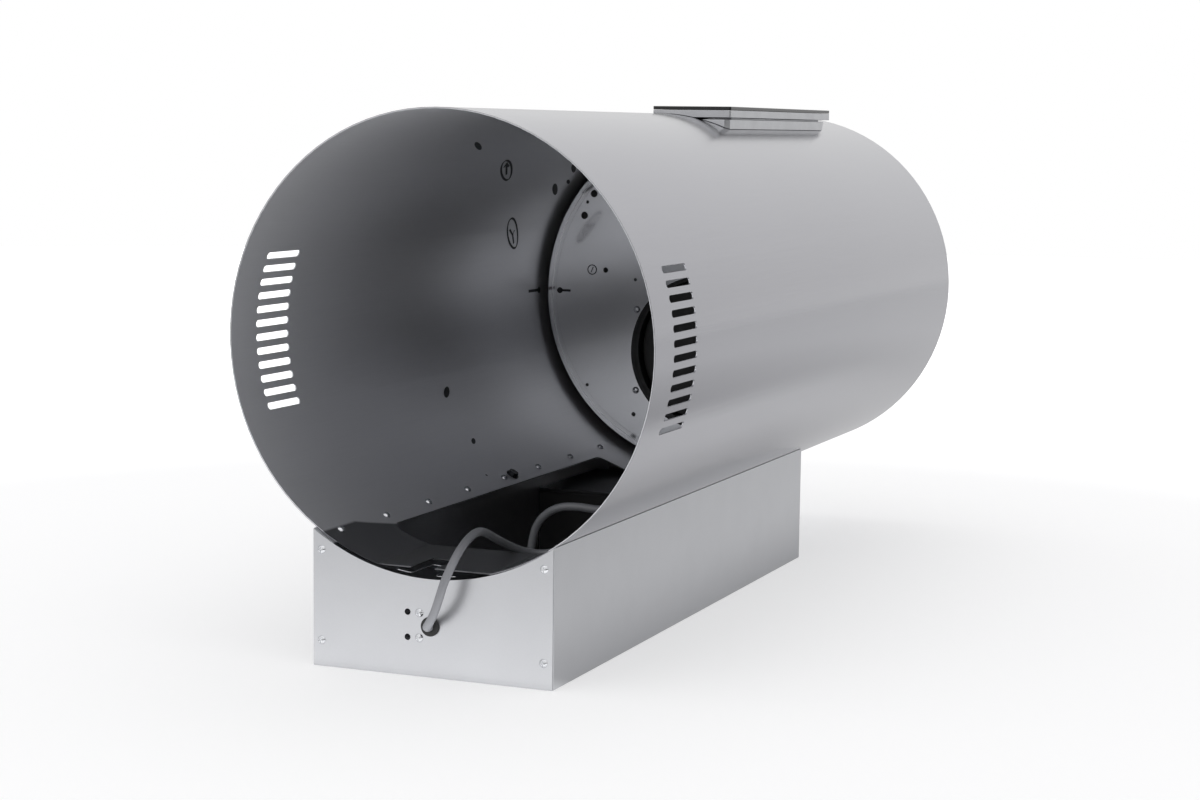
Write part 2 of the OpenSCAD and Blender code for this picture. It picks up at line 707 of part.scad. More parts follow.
// Ring behind the outlet plate that carries the non-return flaps and the blower
ring_r = 84.5;
ring_bore = 72;
ring_len = 18;
ring_plate_t = 3;
throat_edge = 1.3;
spindle_r = 2;
spindle_half = 80;
ring_d = outlet_d + outlet_plate_t + seat_gap;
ring_step_d = outlet_d + collar_len + seat_gap;
ring_back_d = ring_step_d + ring_len;
knuckle_r = 4;
flap_d = ring_back_d - ring_plate_t - knuckle_r - seat_gap;
module flap_ring() {
    mouth_h = scroll_r + tongue_y;
    mouth_dz = fan_dz - (scroll_r - tongue_y) / 2;
    color([0.16, 0.16, 0.17]) difference() {
        union() {
            along(ring_d) translate([outlet_x, -outlet_dz, 0])
                cylinder(r = ring_r, h = ring_back_d - ring_d, $fn = 2 * round_fn);
            along(ring_back_d - ring_plate_t) translate([0, -mouth_dz, 0]) linear_extrude(ring_plate_t)
                square([2 * (scroll_w + flange_w), mouth_h + 2 * flange_w], center = true);
        }
        along(ring_d - over) translate([outlet_x, -outlet_dz, 0])
            cylinder(r = outlet_r + outlet_plate_t + seat_gap, h = ring_step_d - ring_d + over,
                $fn = 2 * round_fn);
        along(ring_step_d - over) translate([outlet_x, -outlet_dz, 0])
            cylinder(r = ring_bore, h = ring_len - ring_plate_t + over, $fn = 2 * round_fn);
        along(ring_back_d - 2 * ring_plate_t) translate([0, -mouth_dz, 0]) linear_extrude(3 * ring_plate_t)
            square([2 * (scroll_w - 2 * scroll_wall), mouth_h - 2 * throat_edge], center = true);
        along(ring_d - over) for (a = ring_screw_angles)
            translate([outlet_x + ring_screw_r * cos(a), -outlet_dz - ring_screw_r * sin(a), 0])
                cylinder(r = screw_r + run_gap, h = outlet_screw_len + over, $fn = small_fn);
        translate([outlet_x, rim_y + flap_d, axis_z + outlet_dz - spindle_half])
            cylinder(r = spindle_r + pin_gap, h = 2 * ring_r, $fn = small_fn);
        blower_screw_places() translate([0, 0, -blower_screw_len - over])
            cylinder(r = screw_r + hole_gap, h = blower_screw_len + over, $fn = small_fn);
    }
}

module flap_spindle() {
    color("silver") translate([outlet_x, rim_y + flap_d, axis_z + outlet_dz])
        cylinder(r = spindle_r, h = 2 * spindle_half - 2 * seat_gap, center = true, $fn = small_fn);
}

// Non-return flap on the side s of the spindle, its knuckles between those of the other flap
flap_t = 1.6;
flap_gap = 1.5;
knuckle_len = 20;
knuckle_pitch = 25;
module flap(s) {
    flap_r = ring_bore - flap_gap;
    color([0.2, 0.2, 0.21]) translate([outlet_x, rim_y + flap_d, axis_z + outlet_dz]) difference() {
        union() {
            rotate([-90, 0, 0]) linear_extrude(flap_t, center = true) intersection() {
                circle(r = flap_r, $fn = 2 * round_fn);
                translate([s > 0 ? knuckle_r + flap_gap : -flap_r, -flap_r])
                    square([flap_r - knuckle_r - flap_gap, 2 * flap_r]);
            }
            for (k = [-1, 1]) translate([0, 0, knuckle_pitch * (k + s / 2)]) {
                cylinder(r = knuckle_r, h = knuckle_len, center = true, $fn = small_fn);
                translate([s * (knuckle_r + flap_gap), 0, 0])
                    cube([2 * (knuckle_r + flap_gap), flap_t, knuckle_len], center = true);
            }
        }
        cylinder(r = spindle_r + run_gap, h = 2 * flap_r, center = true, $fn = small_fn);
    }
}
module left_flap() { flap(-1); }
module right_flap() { flap(1); }

// Blower scroll in two moulded halves, round a fan whose axis lies across the cylinder
fan_room = 124;
fan_rise = 71;
fan_side_gap = 10;
tongue_gap = 6;
scroll_growth = 42;
inlet_lip = 2;
blade_depth = 12;
scroll_step = 5;
fan_d = outlet_d + fan_room;
fan_dz = outlet_dz + fan_rise;
scroll_w = impeller_w / 2 + fan_side_gap;
scroll_wall = 2;
tongue_r = impeller_r + tongue_gap;
tongue_angle = 200;
scroll_r = tongue_r + scroll_growth;
blade_in = impeller_r - blade_depth;
inlet_r = blade_in - inlet_lip;
flange_t = 3;
flange_w = 12;
scroll_d = ring_back_d + seat_gap;
scroll_x = scroll_d - fan_d;
tongue_y = tongue_r * sin(tongue_angle);
function scroll_radius(a) = tongue_r + (scroll_r - tongue_r) * (tongue_angle - a) / (tongue_angle + 90);

// Sets children on the fan's axis, their z along +X, their x along +Y
module on_fan() {
    translate([0, rim_y + fan_d, axis_z + fan_dz]) rotate([90, 0, 90]) children();
}

module scroll_outline(grow, reach) {
    polygon([for (a = [tongue_angle : -scroll_step : -90]) (scroll_radius(a) + grow) * [cos(a), sin(a)]]);
    translate([scroll_x - reach, -scroll_r - grow])
        square([reach - scroll_x, scroll_r + tongue_y + 2 * grow]);
}

// Sets children at the screws that hold the scroll to the flap ring, their z along the axis
module blower_screw_places() {
    for (x = [-1, 1], y = [-scroll_r - flange_w / 2, tongue_y + flange_w / 2])
        along(scroll_d + flange_t) translate([x * (scroll_w + flange_w / 2), -fan_dz - y, 0]) children();
}

bolt_angles = [90, 210, 330];
module motor_bolt_places() {
    for (a = bolt_angles) rotate([0, 0, a]) translate([bolt_circle_r, 0, 0]) children();
}

module scroll_half(s) {
    color([0.55, 0.56, 0.58]) difference() {
        on_fan() mirror([0, 0, s < 0 ? 1 : 0]) difference() {
            translate([0, 0, seat_gap / 2]) union() {
                linear_extrude(scroll_w - seat_gap / 2) scroll_outline(scroll_wall, 0);
                translate([scroll_x, -scroll_r - flange_w, 0])
                    cube([flange_t, scroll_r + tongue_y + 2 * flange_w, scroll_w + flange_w]);
            }
            translate([0, 0, -over]) linear_extrude(scroll_w - scroll_wall + over) scroll_outline(0, over);
            cylinder(r = inlet_r, h = scroll_w + over, $fn = round_fn);
            motor_bolt_places() cylinder(r = screw_r + hole_gap, h = scroll_w + over, $fn = small_fn);
        }
        blower_screw_places() translate([0, 0, -flange_t - over])
            cylinder(r = screw_r + hole_gap, h = flange_t + 2 * over, $fn = small_fn);
    }
}
module scroll_left() { scroll_half(-1); }
module scroll_right() { scroll_half(1); }

blower_screw_len = 6;
module blower_screws() {
    color("gainsboro") blower_screw_places() pan_screw(blower_screw_len);
}

// Double-inlet impeller: leaning blades between two end rings, on a disc with a hub
blade_t = 1;
blade_angle = 30;
blade_share = 0.9;
rim_ring_t = 2;
disc_t = 3;
hub_r = 12;
hub_len = 15;
hub_back = 12;
module impeller() {
    blade_l = blade_share * (impeller_r - blade_in) / cos(blade_angle);
    color([0.5, 0.51, 0.53]) on_fan() difference() {
        union() {
            linear_extrude(impeller_w, center = true) for (i = [0 : blade_count - 1])
                rotate(i * 360 / blade_count) translate([(impeller_r + blade_in) / 2, 0])
                    rotate(blade_angle) square([blade_l, blade_t], center = true);
            for (s = [-1, 1]) translate([0, 0, s * (impeller_w - rim_ring_t) / 2])
                linear_extrude(rim_ring_t, center = true) difference() {
                    circle(r = impeller_r, $fn = round_fn);
                    circle(r = blade_in, $fn = round_fn);
                }
            translate([0, 0, -disc_t]) cylinder(r = impeller_r, h = disc_t, $fn = round_fn);
            translate([0, 0, -hub_back]) cylinder(r = hub_r, h = hub_len, $fn = round_fn);
        }
        translate([0, 0, -hub_back - over]) cylinder(r = shaft_r + pin_gap, h = hub_len + 2 * over,
            $fn = small_fn);
    }
}

// Motor on the right inlet: shaft, rotor, stator, two pressed cups, bearings and a three-armed bracket
motor_start = 8;
motor_split = 35;
cup_wall = 2;
bearing_r = 9;
bearing_len = 7;
boss_r = 12;
rotor_r = 24;
air_gap = 0.5;
rotor_start = 20;
rotor_back_gap = 4;
winding_reach = 2;
bush_t = 3;
bracket_t = 3;
bracket_hub_r = 20;
arm_w = 10;
bolt_circle_r = 68;
motor_end = scroll_w + bush_t;
bracket_start = motor_end + seat_gap;
bearing_low = motor_start + cup_wall;
bearing_high = motor_end - cup_wall - bearing_len;
rotor_len = bearing_high - rotor_back_gap - rotor_start;
module motor_shaft() {
    color("silver") on_fan() translate([0, 0, -hub_back])
        cylinder(r = shaft_r, h = hub_back + motor_end - cup_wall - seat_gap, $fn = small_fn);
}

module motor_rotor() {
    color("dimgray") on_fan() translate([0, 0, rotor_start]) difference() {
        cylinder(r = rotor_r, h = rotor_len, $fn = round_fn);
        translate([0, 0, -over]) cylinder(r = shaft_r + pin_gap, h = rotor_len + 2 * over, $fn = small_fn);
    }
}

module motor_stator() {
    color([0.72, 0.45, 0.2]) on_fan() translate([0, 0, rotor_start - winding_reach]) difference() {
        cylinder(r = motor_r - cup_wall - seat_gap, h = rotor_len + 2 * winding_reach, $fn = round_fn);
        translate([0, 0, -over])
            cylinder(r = rotor_r + air_gap, h = rotor_len + 2 * winding_reach + 2 * over, $fn = round_fn);
    }
}

// Cup of length l with its closed end at z zero and its bearing seat inside, the shaft hole of radius r
module motor_cup(l, r) {
    difference() {
        union() {
            difference() {
                cylinder(r = motor_r, h = l, $fn = round_fn);
                translate([0, 0, cup_wall]) cylinder(r = motor_r - cup_wall, h = l, $fn = round_fn);
            }
            cylinder(r = boss_r, h = cup_wall + bearing_len, $fn = round_fn);
        }
        translate([0, 0, cup_wall]) cylinder(r = bearing_r + pin_gap, h = bearing_len + over, $fn = round_fn);
        if (r > 0) translate([0, 0, -over]) cylinder(r = r, h = l, $fn = small_fn);
    }
}

module motor_cup_inner() {
    color("darkgray") on_fan() translate([0, 0, motor_start])
        motor_cup(motor_split - motor_start, 2 * shaft_r);
}

module motor_cup_outer() {
    color("darkgray") on_fan() translate([0, 0, motor_end]) rotate([180, 0, 0])
        motor_cup(motor_end - motor_split - seat_gap, 0);
}

module motor_bearings() {
    color("gainsboro") on_fan() for (z = [bearing_low, bearing_high]) translate([0, 0, z]) difference() {
        cylinder(r = bearing_r, h = bearing_len, $fn = round_fn);
        translate([0, 0, -over]) cylinder(r = shaft_r + run_gap, h = bearing_len + 2 * over, $fn = small_fn);
    }
}

module motor_bracket() {
    color("silver") on_fan() translate([0, 0, bracket_start]) linear_extrude(bracket_t) difference() {
        union() {
            circle(r = bracket_hub_r, $fn = round_fn);
            for (a = bolt_angles) rotate(a) {
                translate([0, -arm_w / 2]) square([bolt_circle_r, arm_w]);
                translate([bolt_circle_r, 0]) circle(d = arm_w, $fn = small_fn);
            }
        }
        for (a = bolt_angles) rotate(a) translate([bolt_circle_r, 0])
            circle(r = screw_r + hole_gap, $fn = small_fn);
    }
}

module motor_bushes() {
    color([0.05, 0.05, 0.05]) on_fan() motor_bolt_places() translate([0, 0, scroll_w + seat_gap / 2])
        difference() {
            cylinder(d = arm_w, h = bush_t, $fn = small_fn);
            translate([0, 0, -over]) cylinder(r = screw_r + hole_gap, h = bush_t + 2 * over, $fn = small_fn);
        }
}

motor_bolt_len = 12;
module motor_bolts() {
    color("gainsboro") on_fan() motor_bolt_places() translate([0, 0, bracket_start + bracket_t])
        pan_screw(motor_bolt_len);
}

// Run capacitor in its clip, on the left side of the scroll
cap_r = 14;
cap_len = 55;
cap_dz = 95;
terminal_pitch = 14;
terminal_len = 7;
clip_t = 1.2;
clip_len = 12;
clip_foot = 40;
cap_stand = cap_r + clip_t + 2 * seat_gap;
module at_capacitor() {
    translate([-scroll_w - cap_stand, rim_y + fan_d, axis_z + cap_dz]) rotate([90, 0, 0]) children();
}

module capacitor() {
    color("white") at_capacitor() {
        cylinder(r = cap_r, h = cap_len, center = true, $fn = round_fn);
        for (s = [-1, 1]) translate([s * terminal_pitch / 2, 0, cap_len / 2])
            cylinder(d = clip_t, h = terminal_len, $fn = small_fn);
    }
}

module capacitor_clip() {
    color("silver") at_capacitor() linear_extrude(clip_len, center = true) difference() {
        union() {
            circle(r = cap_r + clip_t + seat_gap / 2, $fn = round_fn);
            translate([cap_stand - seat_gap - clip_t, -clip_foot / 2]) square([clip_t, clip_foot]);
        }
        circle(r = cap_r + seat_gap / 2, $fn = round_fn);
    }
}

// Intake fascia: plate with a skirt, the filter's opening, two lamp holes, hinge ears and magnet shelves
fascia_gap = 0.3;
fascia_face_d = tube_len - fascia_set_back;
skirt_len = 28;
opening_gap = 2.5;
fascia_r = tube_r - sheet_t - fascia_gap;
opening_half = (fascia_r - fascia_rim) / sqrt(2);
filter_w = 2 * (opening_half - opening_gap);
lamp_shift = 1.6;
lamp_x = (opening_half + fascia_r) / 2 - lamp_shift;
lamp_hole_gap = 2.7;
ear_t = 3;
ear_w = 12;
hinge_pin_r = 2;
hinge_d = fascia_face_d - filter_t / 2;
hinge_dz = filter_t / 2 - filter_w / 2;
shelf_w = 20;
shelf_x = 60;
shelf_d = 15;
frame_w = 12;
fascia_screw_x = 28;

// Sets children at the fascia's screws on the flat stretch, their z pointing inwards
module fascia_screw_places() {
    for (s = [-1, 1])
        translate([s * fascia_screw_x, rim_y + fascia_face_d - skirt_len / 2, axis_z - tube_flat - seat_lift])
            mirror([0, 0, 1]) children();
}

module intake_fascia() {
    color("silver") difference() {
        union() {
            slab(fascia_face_d - skirt_len, skirt_len) difference() {
                tube_section(sheet_t + fascia_gap);
                tube_section(2 * sheet_t + fascia_gap);
            }
            slab(fascia_face_d - sheet_t, sheet_t) difference() {
                tube_section(sheet_t + fascia_gap);
                square(2 * opening_half, center = true);
                for (s = [-1, 1]) translate([s * lamp_x, 0])
                    circle(r = lamp_r - lamp_hole_gap, $fn = round_fn);
            }
            for (s = [0, 1]) mirror([s, 0, 0])
                translate([opening_half, rim_y + hinge_d - ear_w / 2, axis_z + hinge_dz - ear_w / 2])
                    cube([ear_t, filter_t / 2 + ear_w / 2, ear_w]);
            for (s = [-1, 1]) translate([s * shelf_x - shelf_w / 2,
                    rim_y + fascia_face_d - sheet_t - shelf_d, axis_z + opening_half]) {
                cube([shelf_w, shelf_d + sheet_t, sheet_t]);
                translate([0, 0, -opening_gap - frame_w])
                    cube([shelf_w, sheet_t, frame_w + opening_gap + sheet_t]);
            }
        }
        translate([0, rim_y + hinge_d, axis_z + hinge_dz]) rotate([0, 90, 0])
            cylinder(r = hinge_pin_r + run_gap, h = 2 * tube_r, center = true, $fn = small_fn);
        fascia_screw_places() translate([0, 0, -3 * sheet_t - over])
            cylinder(r = screw_r + hole_gap, h = 3 * sheet_t + 2 * over, $fn = small_fn);
    }
}

fascia_screw_len = 5;
module fascia_screws() {
    color("gainsboro") fascia_screw_places() pan_screw(fascia_screw_len);
}

// Grease filter: frame with a rounded hinge edge, mesh in its groove, hinge pins and a pull
mesh_t = 6;
mesh_bite = 4;
pin_out = 2.5;
pin_in = 6;
module filter_frame() {
    color("darkgray") difference() {
        translate([0, rim_y + hinge_d, axis_z]) {
            translate([-filter_w / 2, -filter_t / 2, hinge_dz])
                cube([filter_w, filter_t, filter_w / 2 - hinge_dz]);
            translate([0, 0, hinge_dz]) rotate([0, 90, 0])
                cylinder(d = filter_t, h = filter_w, center = true, $fn = round_fn);
        }
        translate([0, rim_y + hinge_d, axis_z]) {
            cube([filter_w - 2 * frame_w, 2 * filter_t, filter_w - 2 * frame_w], center = true);
            cube([filter_w - 2 * frame_w + 2 * mesh_bite, mesh_t + 2 * seat_gap,
                filter_w - 2 * frame_w + 2 * mesh_bite], center = true);
        }
        for (s = [0, 1]) mirror([s, 0, 0])
            translate([filter_w / 2 - pin_in, rim_y + hinge_d, axis_z + hinge_dz])
            rotate([0, 90, 0]) cylinder(r = hinge_pin_r + pin_gap, h = pin_in + over, $fn = small_fn);
    }
}

module filter_mesh() {
    side = filter_w - 2 * frame_w + 2 * mesh_bite - 2 * seat_gap;
    color("silver") translate([0, rim_y + hinge_d, axis_z]) cube([side, mesh_t, side], center = true);
}

module filter_pins() {
    color("gainsboro") for (s = [0, 1]) mirror([s, 0, 0])
        translate([filter_w / 2 - pin_in + seat_gap, rim_y + hinge_d, axis_z + hinge_dz])
            rotate([0, 90, 0]) cylinder(r = hinge_pin_r, h = pin_in + opening_gap + pin_out, $fn = small_fn);
}

pull_w = 40;
pull_t = 1.2;
pull_reach = 5;
module filter_pull() {
    face_y = rim_y + fascia_face_d + seat_gap / 2;
    color("silver") translate([-pull_w / 2, face_y, axis_z + filter_w / 2 - frame_w]) {
        cube([pull_w, pull_t, frame_w]);
        cube([pull_w, pull_t + pull_reach, pull_t]);
    }
}

magnet_r = 5;
module filter_magnets() {
    back = fascia_face_d - filter_t - seat_gap;
    start = fascia_face_d - shelf_d + seat_gap / 2;
    color("dimgray") for (s = [-1, 1]) along(start)
        translate([s * shelf_x, frame_w / 2 - filter_w / 2, 0])
            cylinder(r = magnet_r, h = back - start, $fn = small_fn);
}

// Lamps: bezel with a barrel, glass lens and finned body
bezel_t = 1.5;
bezel_lip = 6;
barrel_wall = 1.6;
barrel_len = 12;
lens_t = 2.5;
lamp_len = 26;
fin_t = 2;
fins = 3;
barrel_r = lamp_r - lamp_hole_gap - seat_gap;
lamp_in_r = barrel_r - barrel_wall - seat_gap;
module at_lamps(d) {
    for (s = [-1, 1]) along(d) translate([s * lamp_x, 0, 0]) children();
}

module lamp_bezels() {
    color("gainsboro") at_lamps(fascia_face_d + seat_gap / 2) difference() {
        union() {
            cylinder(r = lamp_r, h = bezel_t, $fn = round_fn);
            translate([0, 0, -barrel_len])
                cylinder(r = barrel_r, h = barrel_len + bezel_t / 2, $fn = round_fn);
        }
        translate([0, 0, -barrel_len - over]) cylinder(r = barrel_r - barrel_wall, h = barrel_len + over,
            $fn = round_fn);
        translate([0, 0, -over]) cylinder(r = lamp_r - bezel_lip, h = bezel_t + 2 * over, $fn = round_fn);
    }
}

module lamp_lenses() {
    color("white") at_lamps(fascia_face_d - lens_t) cylinder(r = lamp_in_r, h = lens_t, $fn = round_fn);
}

module lamp_bodies() {
    start = fascia_face_d - lens_t - seat_gap - lamp_len;
    color("gainsboro") at_lamps(start) difference() {
        cylinder(r = lamp_in_r, h = lamp_len, $fn = round_fn);
        for (i = [0 : fins - 1]) translate([0, 0, fin_t * (2 * i + 1)]) difference() {
            cylinder(r = lamp_r, h = fin_t, $fn = round_fn);
            cylinder(r = lamp_in_r / 2, h = 2 * fin_t, $fn = round_fn);
        }
    }
}

// Touch panel: moulded saddle on the cylinder, hollow frame, board and glass
frame_h = 6.6;
frame_wall = 2.5;
frame_floor = 1.5;
shadow_gap = 1.8;
saddle_side_in = 1.8;
saddle_low_in = 19;
saddle_top_in = 4;
saddle_depth = 12;
saddle_lip = 2;
saddle_corner = 4;
plinth_in = 6;
glass_corner = 1.5;
glass_low = tube_r + panel_rise - glass_t;
frame_low = glass_low - seat_gap - frame_h;
saddle_top = frame_low - shadow_gap;

// Sets children at the middle of the panel's plan, at height h over the cylinder's axis
module on_panel(h) {
    translate([panel_x, panel_mid_y, axis_z + h]) children();
}

module tube_cut() {
    along(panel_start - panel_len) cylinder(r = tube_r + seat_gap, h = 3 * panel_len, $fn = 2 * round_fn);
}

// Long side view of the saddle, y to the right
module saddle_side(inset, low) {
    top_l = panel_len - saddle_top_in - 2 * inset;
    low_l = panel_len - saddle_low_in - 2 * inset;
    translate([inset - panel_len / 2, 0])
        polygon([[0, low], [0, -inset], [top_l, -inset], [top_l, -saddle_lip], [low_l, low]]);
}

module panel_saddle() {
    w = panel_w - saddle_side_in;
    color("silver") difference() {
        union() {
            intersection() {
                on_panel(saddle_top) translate([-panel_w / 2, 0, 0]) rotate([90, 0, 90])
                    linear_extrude(w) saddle_side(0, -saddle_depth);
                on_panel(saddle_top - saddle_depth) linear_extrude(saddle_depth) polygon([
                    [-panel_w / 2, -panel_len / 2], [w - panel_w / 2 - saddle_corner, -panel_len / 2],
                    [w - panel_w / 2, saddle_corner - panel_len / 2],
                    [w - panel_w / 2, panel_len / 2 - saddle_low_in - saddle_corner],
                    [w - panel_w / 2 - saddle_corner, panel_len / 2], [-panel_w / 2, panel_len / 2]]);
            }
            on_panel(saddle_top - saddle_lip) linear_extrude(saddle_lip + shadow_gap - seat_gap)
                square([panel_w - 2 * plinth_in, panel_len - 2 * saddle_low_in], center = true);
        }
        tube_cut();
        on_panel(saddle_top - saddle_lip) translate([frame_wall - panel_w / 2, 0, 0]) rotate([90, 0, 90])
            linear_extrude(w - 2 * frame_wall) saddle_side(frame_wall, -saddle_depth);
    }
}

module panel_frame() {
    color("silver") difference() {
        on_panel(frame_low) linear_extrude(frame_h) round_rect([panel_w, panel_len], glass_corner);
        on_panel(frame_low + frame_floor) linear_extrude(frame_h)
            round_rect([panel_w - 2 * frame_wall, panel_len - 2 * frame_wall], glass_corner);
        tube_cut();
    }
}

module touch_glass() {
    color([0.03, 0.03, 0.03]) on_panel(glass_low) linear_extrude(glass_t)
        round_rect([panel_w, panel_len], glass_corner);
}

touch_board_t = 1.6;
module touch_board() {
    color("darkgreen") on_panel(glass_low - seat_gap - touch_board_t) linear_extrude(touch_board_t)
        round_rect([panel_w - 2 * frame_wall - 2 * seat_gap, panel_len - 2 * frame_wall - 2 * seat_gap],
            glass_corner);
}

// Lead from the touch board, down through the cylinder, round the casing and into the control box
panel_lead_d = 3;
panel_lead_r = tube_r - sheet_t - casing_space / 2;
panel_arc_angles = [80 : -12 : -52];
panel_arc = [for (a = panel_arc_angles)
    [panel_lead_r * cos(a), panel_mid_y, axis_z + panel_lead_r * sin(a)]];
panel_route = [[93, 311, 107], [88, 304, 104], [86, 294, 103], [85, 280, 102], [82, 265, 101],
    [77, 248, 99], [71, 232, 95], [65, 217, 89], [58, 203, 81], [48, 191, 73], [34, 181, 66],
    [18, 174, 61], [4, 171, 58.5]];
panel_exit_y = 170;
panel_exit_z = 58;
module panel_lead() {
    start = [panel_x / 2, panel_mid_y, axis_z + glass_low - seat_gap - touch_board_t];
    drop = [0, 0, panel_lead_d / 2];
    bend = [panel_lead_d / 2, 0, -panel_lead_d];
    end = [ctrl_x + ctrl_w / 2, panel_exit_y, panel_exit_z];
    color([0.85, 0.85, 0.85]) swept_cord(concat([start, start - drop, start - drop + bend,
        start - drop + 2 * bend], panel_arc, panel_route, [end + [panel_lead_d, 0, 0], end]),
        panel_lead_d / 2, 8);
}

outer_cylinder();
rear_box();
front_end_plate();
rear_end_plate();
end_plate_screws();
cylinder_screws();
earth_screw();
cable_grommet();
cable_clamp();
clamp_screws();
mains_cord_lead();
mains_cord_coil();
mains_cord_tail();
cord_tie();
mains_plug();
supply_lead();
control_box();
control_box_lid();
power_board();
terminal_block();
motor_lead();
lead_bush();
outlet_plate();
outlet_screws();
blower_casing();
casing_spacers();
flap_ring();
flap_spindle();
left_flap();
right_flap();
scroll_left();
scroll_right();
impeller();
motor_shaft();
motor_rotor();
motor_stator();
motor_cup_outer();
motor_cup_inner();
motor_bearings();
motor_bracket();
motor_bushes();
motor_bolts();
blower_screws();
capacitor();
capacitor_clip();
intake_fascia();
filter_frame();
filter_mesh();
filter_pins();
filter_pull();
filter_magnets();
lamp_bezels();
lamp_lenses();
lamp_bodies();
fascia_screws();
panel_saddle();
panel_frame();
touch_glass();
touch_board();
panel_lead();
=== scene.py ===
import json
import math

import bmesh
import bpy
from mathutils import Matrix, Vector


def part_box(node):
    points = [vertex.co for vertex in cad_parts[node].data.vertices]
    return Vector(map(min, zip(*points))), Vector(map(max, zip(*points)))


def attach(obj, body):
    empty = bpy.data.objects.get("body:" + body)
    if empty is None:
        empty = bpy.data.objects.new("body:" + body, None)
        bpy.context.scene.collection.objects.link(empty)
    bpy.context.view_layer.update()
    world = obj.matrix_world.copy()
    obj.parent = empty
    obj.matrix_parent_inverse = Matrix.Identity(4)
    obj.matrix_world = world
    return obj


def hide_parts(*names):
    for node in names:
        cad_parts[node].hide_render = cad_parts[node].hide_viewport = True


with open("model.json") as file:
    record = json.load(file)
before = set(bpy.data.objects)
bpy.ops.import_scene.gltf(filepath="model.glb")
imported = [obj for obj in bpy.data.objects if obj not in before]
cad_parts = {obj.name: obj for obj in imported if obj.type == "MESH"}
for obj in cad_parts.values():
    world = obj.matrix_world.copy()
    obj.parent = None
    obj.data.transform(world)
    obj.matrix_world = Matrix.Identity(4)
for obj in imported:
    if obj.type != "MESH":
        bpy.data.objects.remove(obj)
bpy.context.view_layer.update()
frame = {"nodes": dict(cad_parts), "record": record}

# The camera stands right of the open vent end, a little above the cylinder's crown, and looks
# slightly down along the hood. Its place is in metres in the part's frame, its angles in degrees.
camera_place = Vector((0.763647, -1.834944, 0.410353))
camera_yaw, camera_pitch, camera_roll = 22.27795, -6.64437, 0.70149
lens_mm, sensor_mm, sight_m = 69.836, 36, 50
camera = bpy.data.objects.new("camera", bpy.data.cameras.new("camera"))
bpy.context.scene.collection.objects.link(camera)
camera.data.sensor_fit = "HORIZONTAL"
camera.data.sensor_width = sensor_mm
camera.data.lens = lens_mm
camera.data.clip_end = sight_m
camera.matrix_world = (
    Matrix.Translation(camera_place)
    @ Matrix.Rotation(math.radians(camera_yaw), 4, "Z")
    @ Matrix.Rotation(math.radians(90 + camera_pitch), 4, "X")
    @ Matrix.Rotation(math.radians(camera_roll), 4, "Z")
)
bpy.context.scene.camera = camera
bpy.context.scene.view_settings.view_transform = "Standard"

# Rear box: wall panel, sides, curved seat flanges and end tabs, folded from one sheet of galvanised
# steel. Zinc dulls the sheet to an even, slightly mottled grey, and each fold keeps a small radius.
mm = 0.001
bodies = {n: body for body, names in frame["record"]["behaviour"]["bodies"].items() for n in names}
# Most of a noise lies within one_noise, and most of the sum of two within two_noises.
one_noise, two_noises = (0.3, 0.7), (0.7, 1.3)
# Points this many millimetres apart are one, faces this many degrees apart are one flat face, and
# edges that turn by more degrees than edge_angle are eased. flat_weight keeps broad faces flat.
same_point, flat_angle, edge_angle, flat_weight = 0.002, 0.5, 35, 80


def linear(hex_colour):
    """The linear colour of an sRGB hex value."""
    shares = [int(hex_colour[i:i + 2], 16) / 255 for i in (1, 3, 5)]
    return [s / 12.92 if s <= 0.04045 else ((s + 0.055) / 1.055) ** 2.4 for s in shares] + [1]


def add_node(tree, kind, inputs=(), **settings):
    """Adds a shader node, sets its settings and input values, and links the inputs given as sockets.
    inputs is a list in the node's own order, or a dictionary by name or number."""
    new = tree.nodes.new(kind)
    for name, value in settings.items():
        setattr(new, name, value)
    for name, value in inputs.items() if isinstance(inputs, dict) else enumerate(inputs):
        if isinstance(value, bpy.types.NodeSocket):
            tree.links.new(value, new.inputs[name])
        else:
            new.inputs[name].default_value = value
    return new


def start_material(name):
    """A new material, its node tree, and the place on the piece in metres."""
    material = bpy.data.materials.new(name)
    material.use_nodes = True
    material.node_tree.nodes.clear()
    place = add_node(material.node_tree, "ShaderNodeTexCoord").outputs["Object"]
    return material, material.node_tree, place


def finish_material(tree, inputs):
    """Closes a material with a Principled shader that has these inputs."""
    surface = add_node(tree, "ShaderNodeBsdfPrincipled", inputs)
    add_node(tree, "ShaderNodeOutputMaterial", {"Surface": surface.outputs["BSDF"]})


def specks(tree, place, size, detail=2, stretch=(1, 1, 1)):
    """Specks of this size in millimetres, made longer along an axis by its stretch."""
    drawn = add_node(tree, "ShaderNodeMapping", {"Vector": place, "Scale": [1 / s for s in stretch]})
    drawn = add_node(tree, "ShaderNodeTexNoise", {"Vector": drawn.outputs["Vector"],
                                                  "Scale": 1 / (size * mm), "Detail": detail})
    return drawn.outputs["Fac"]


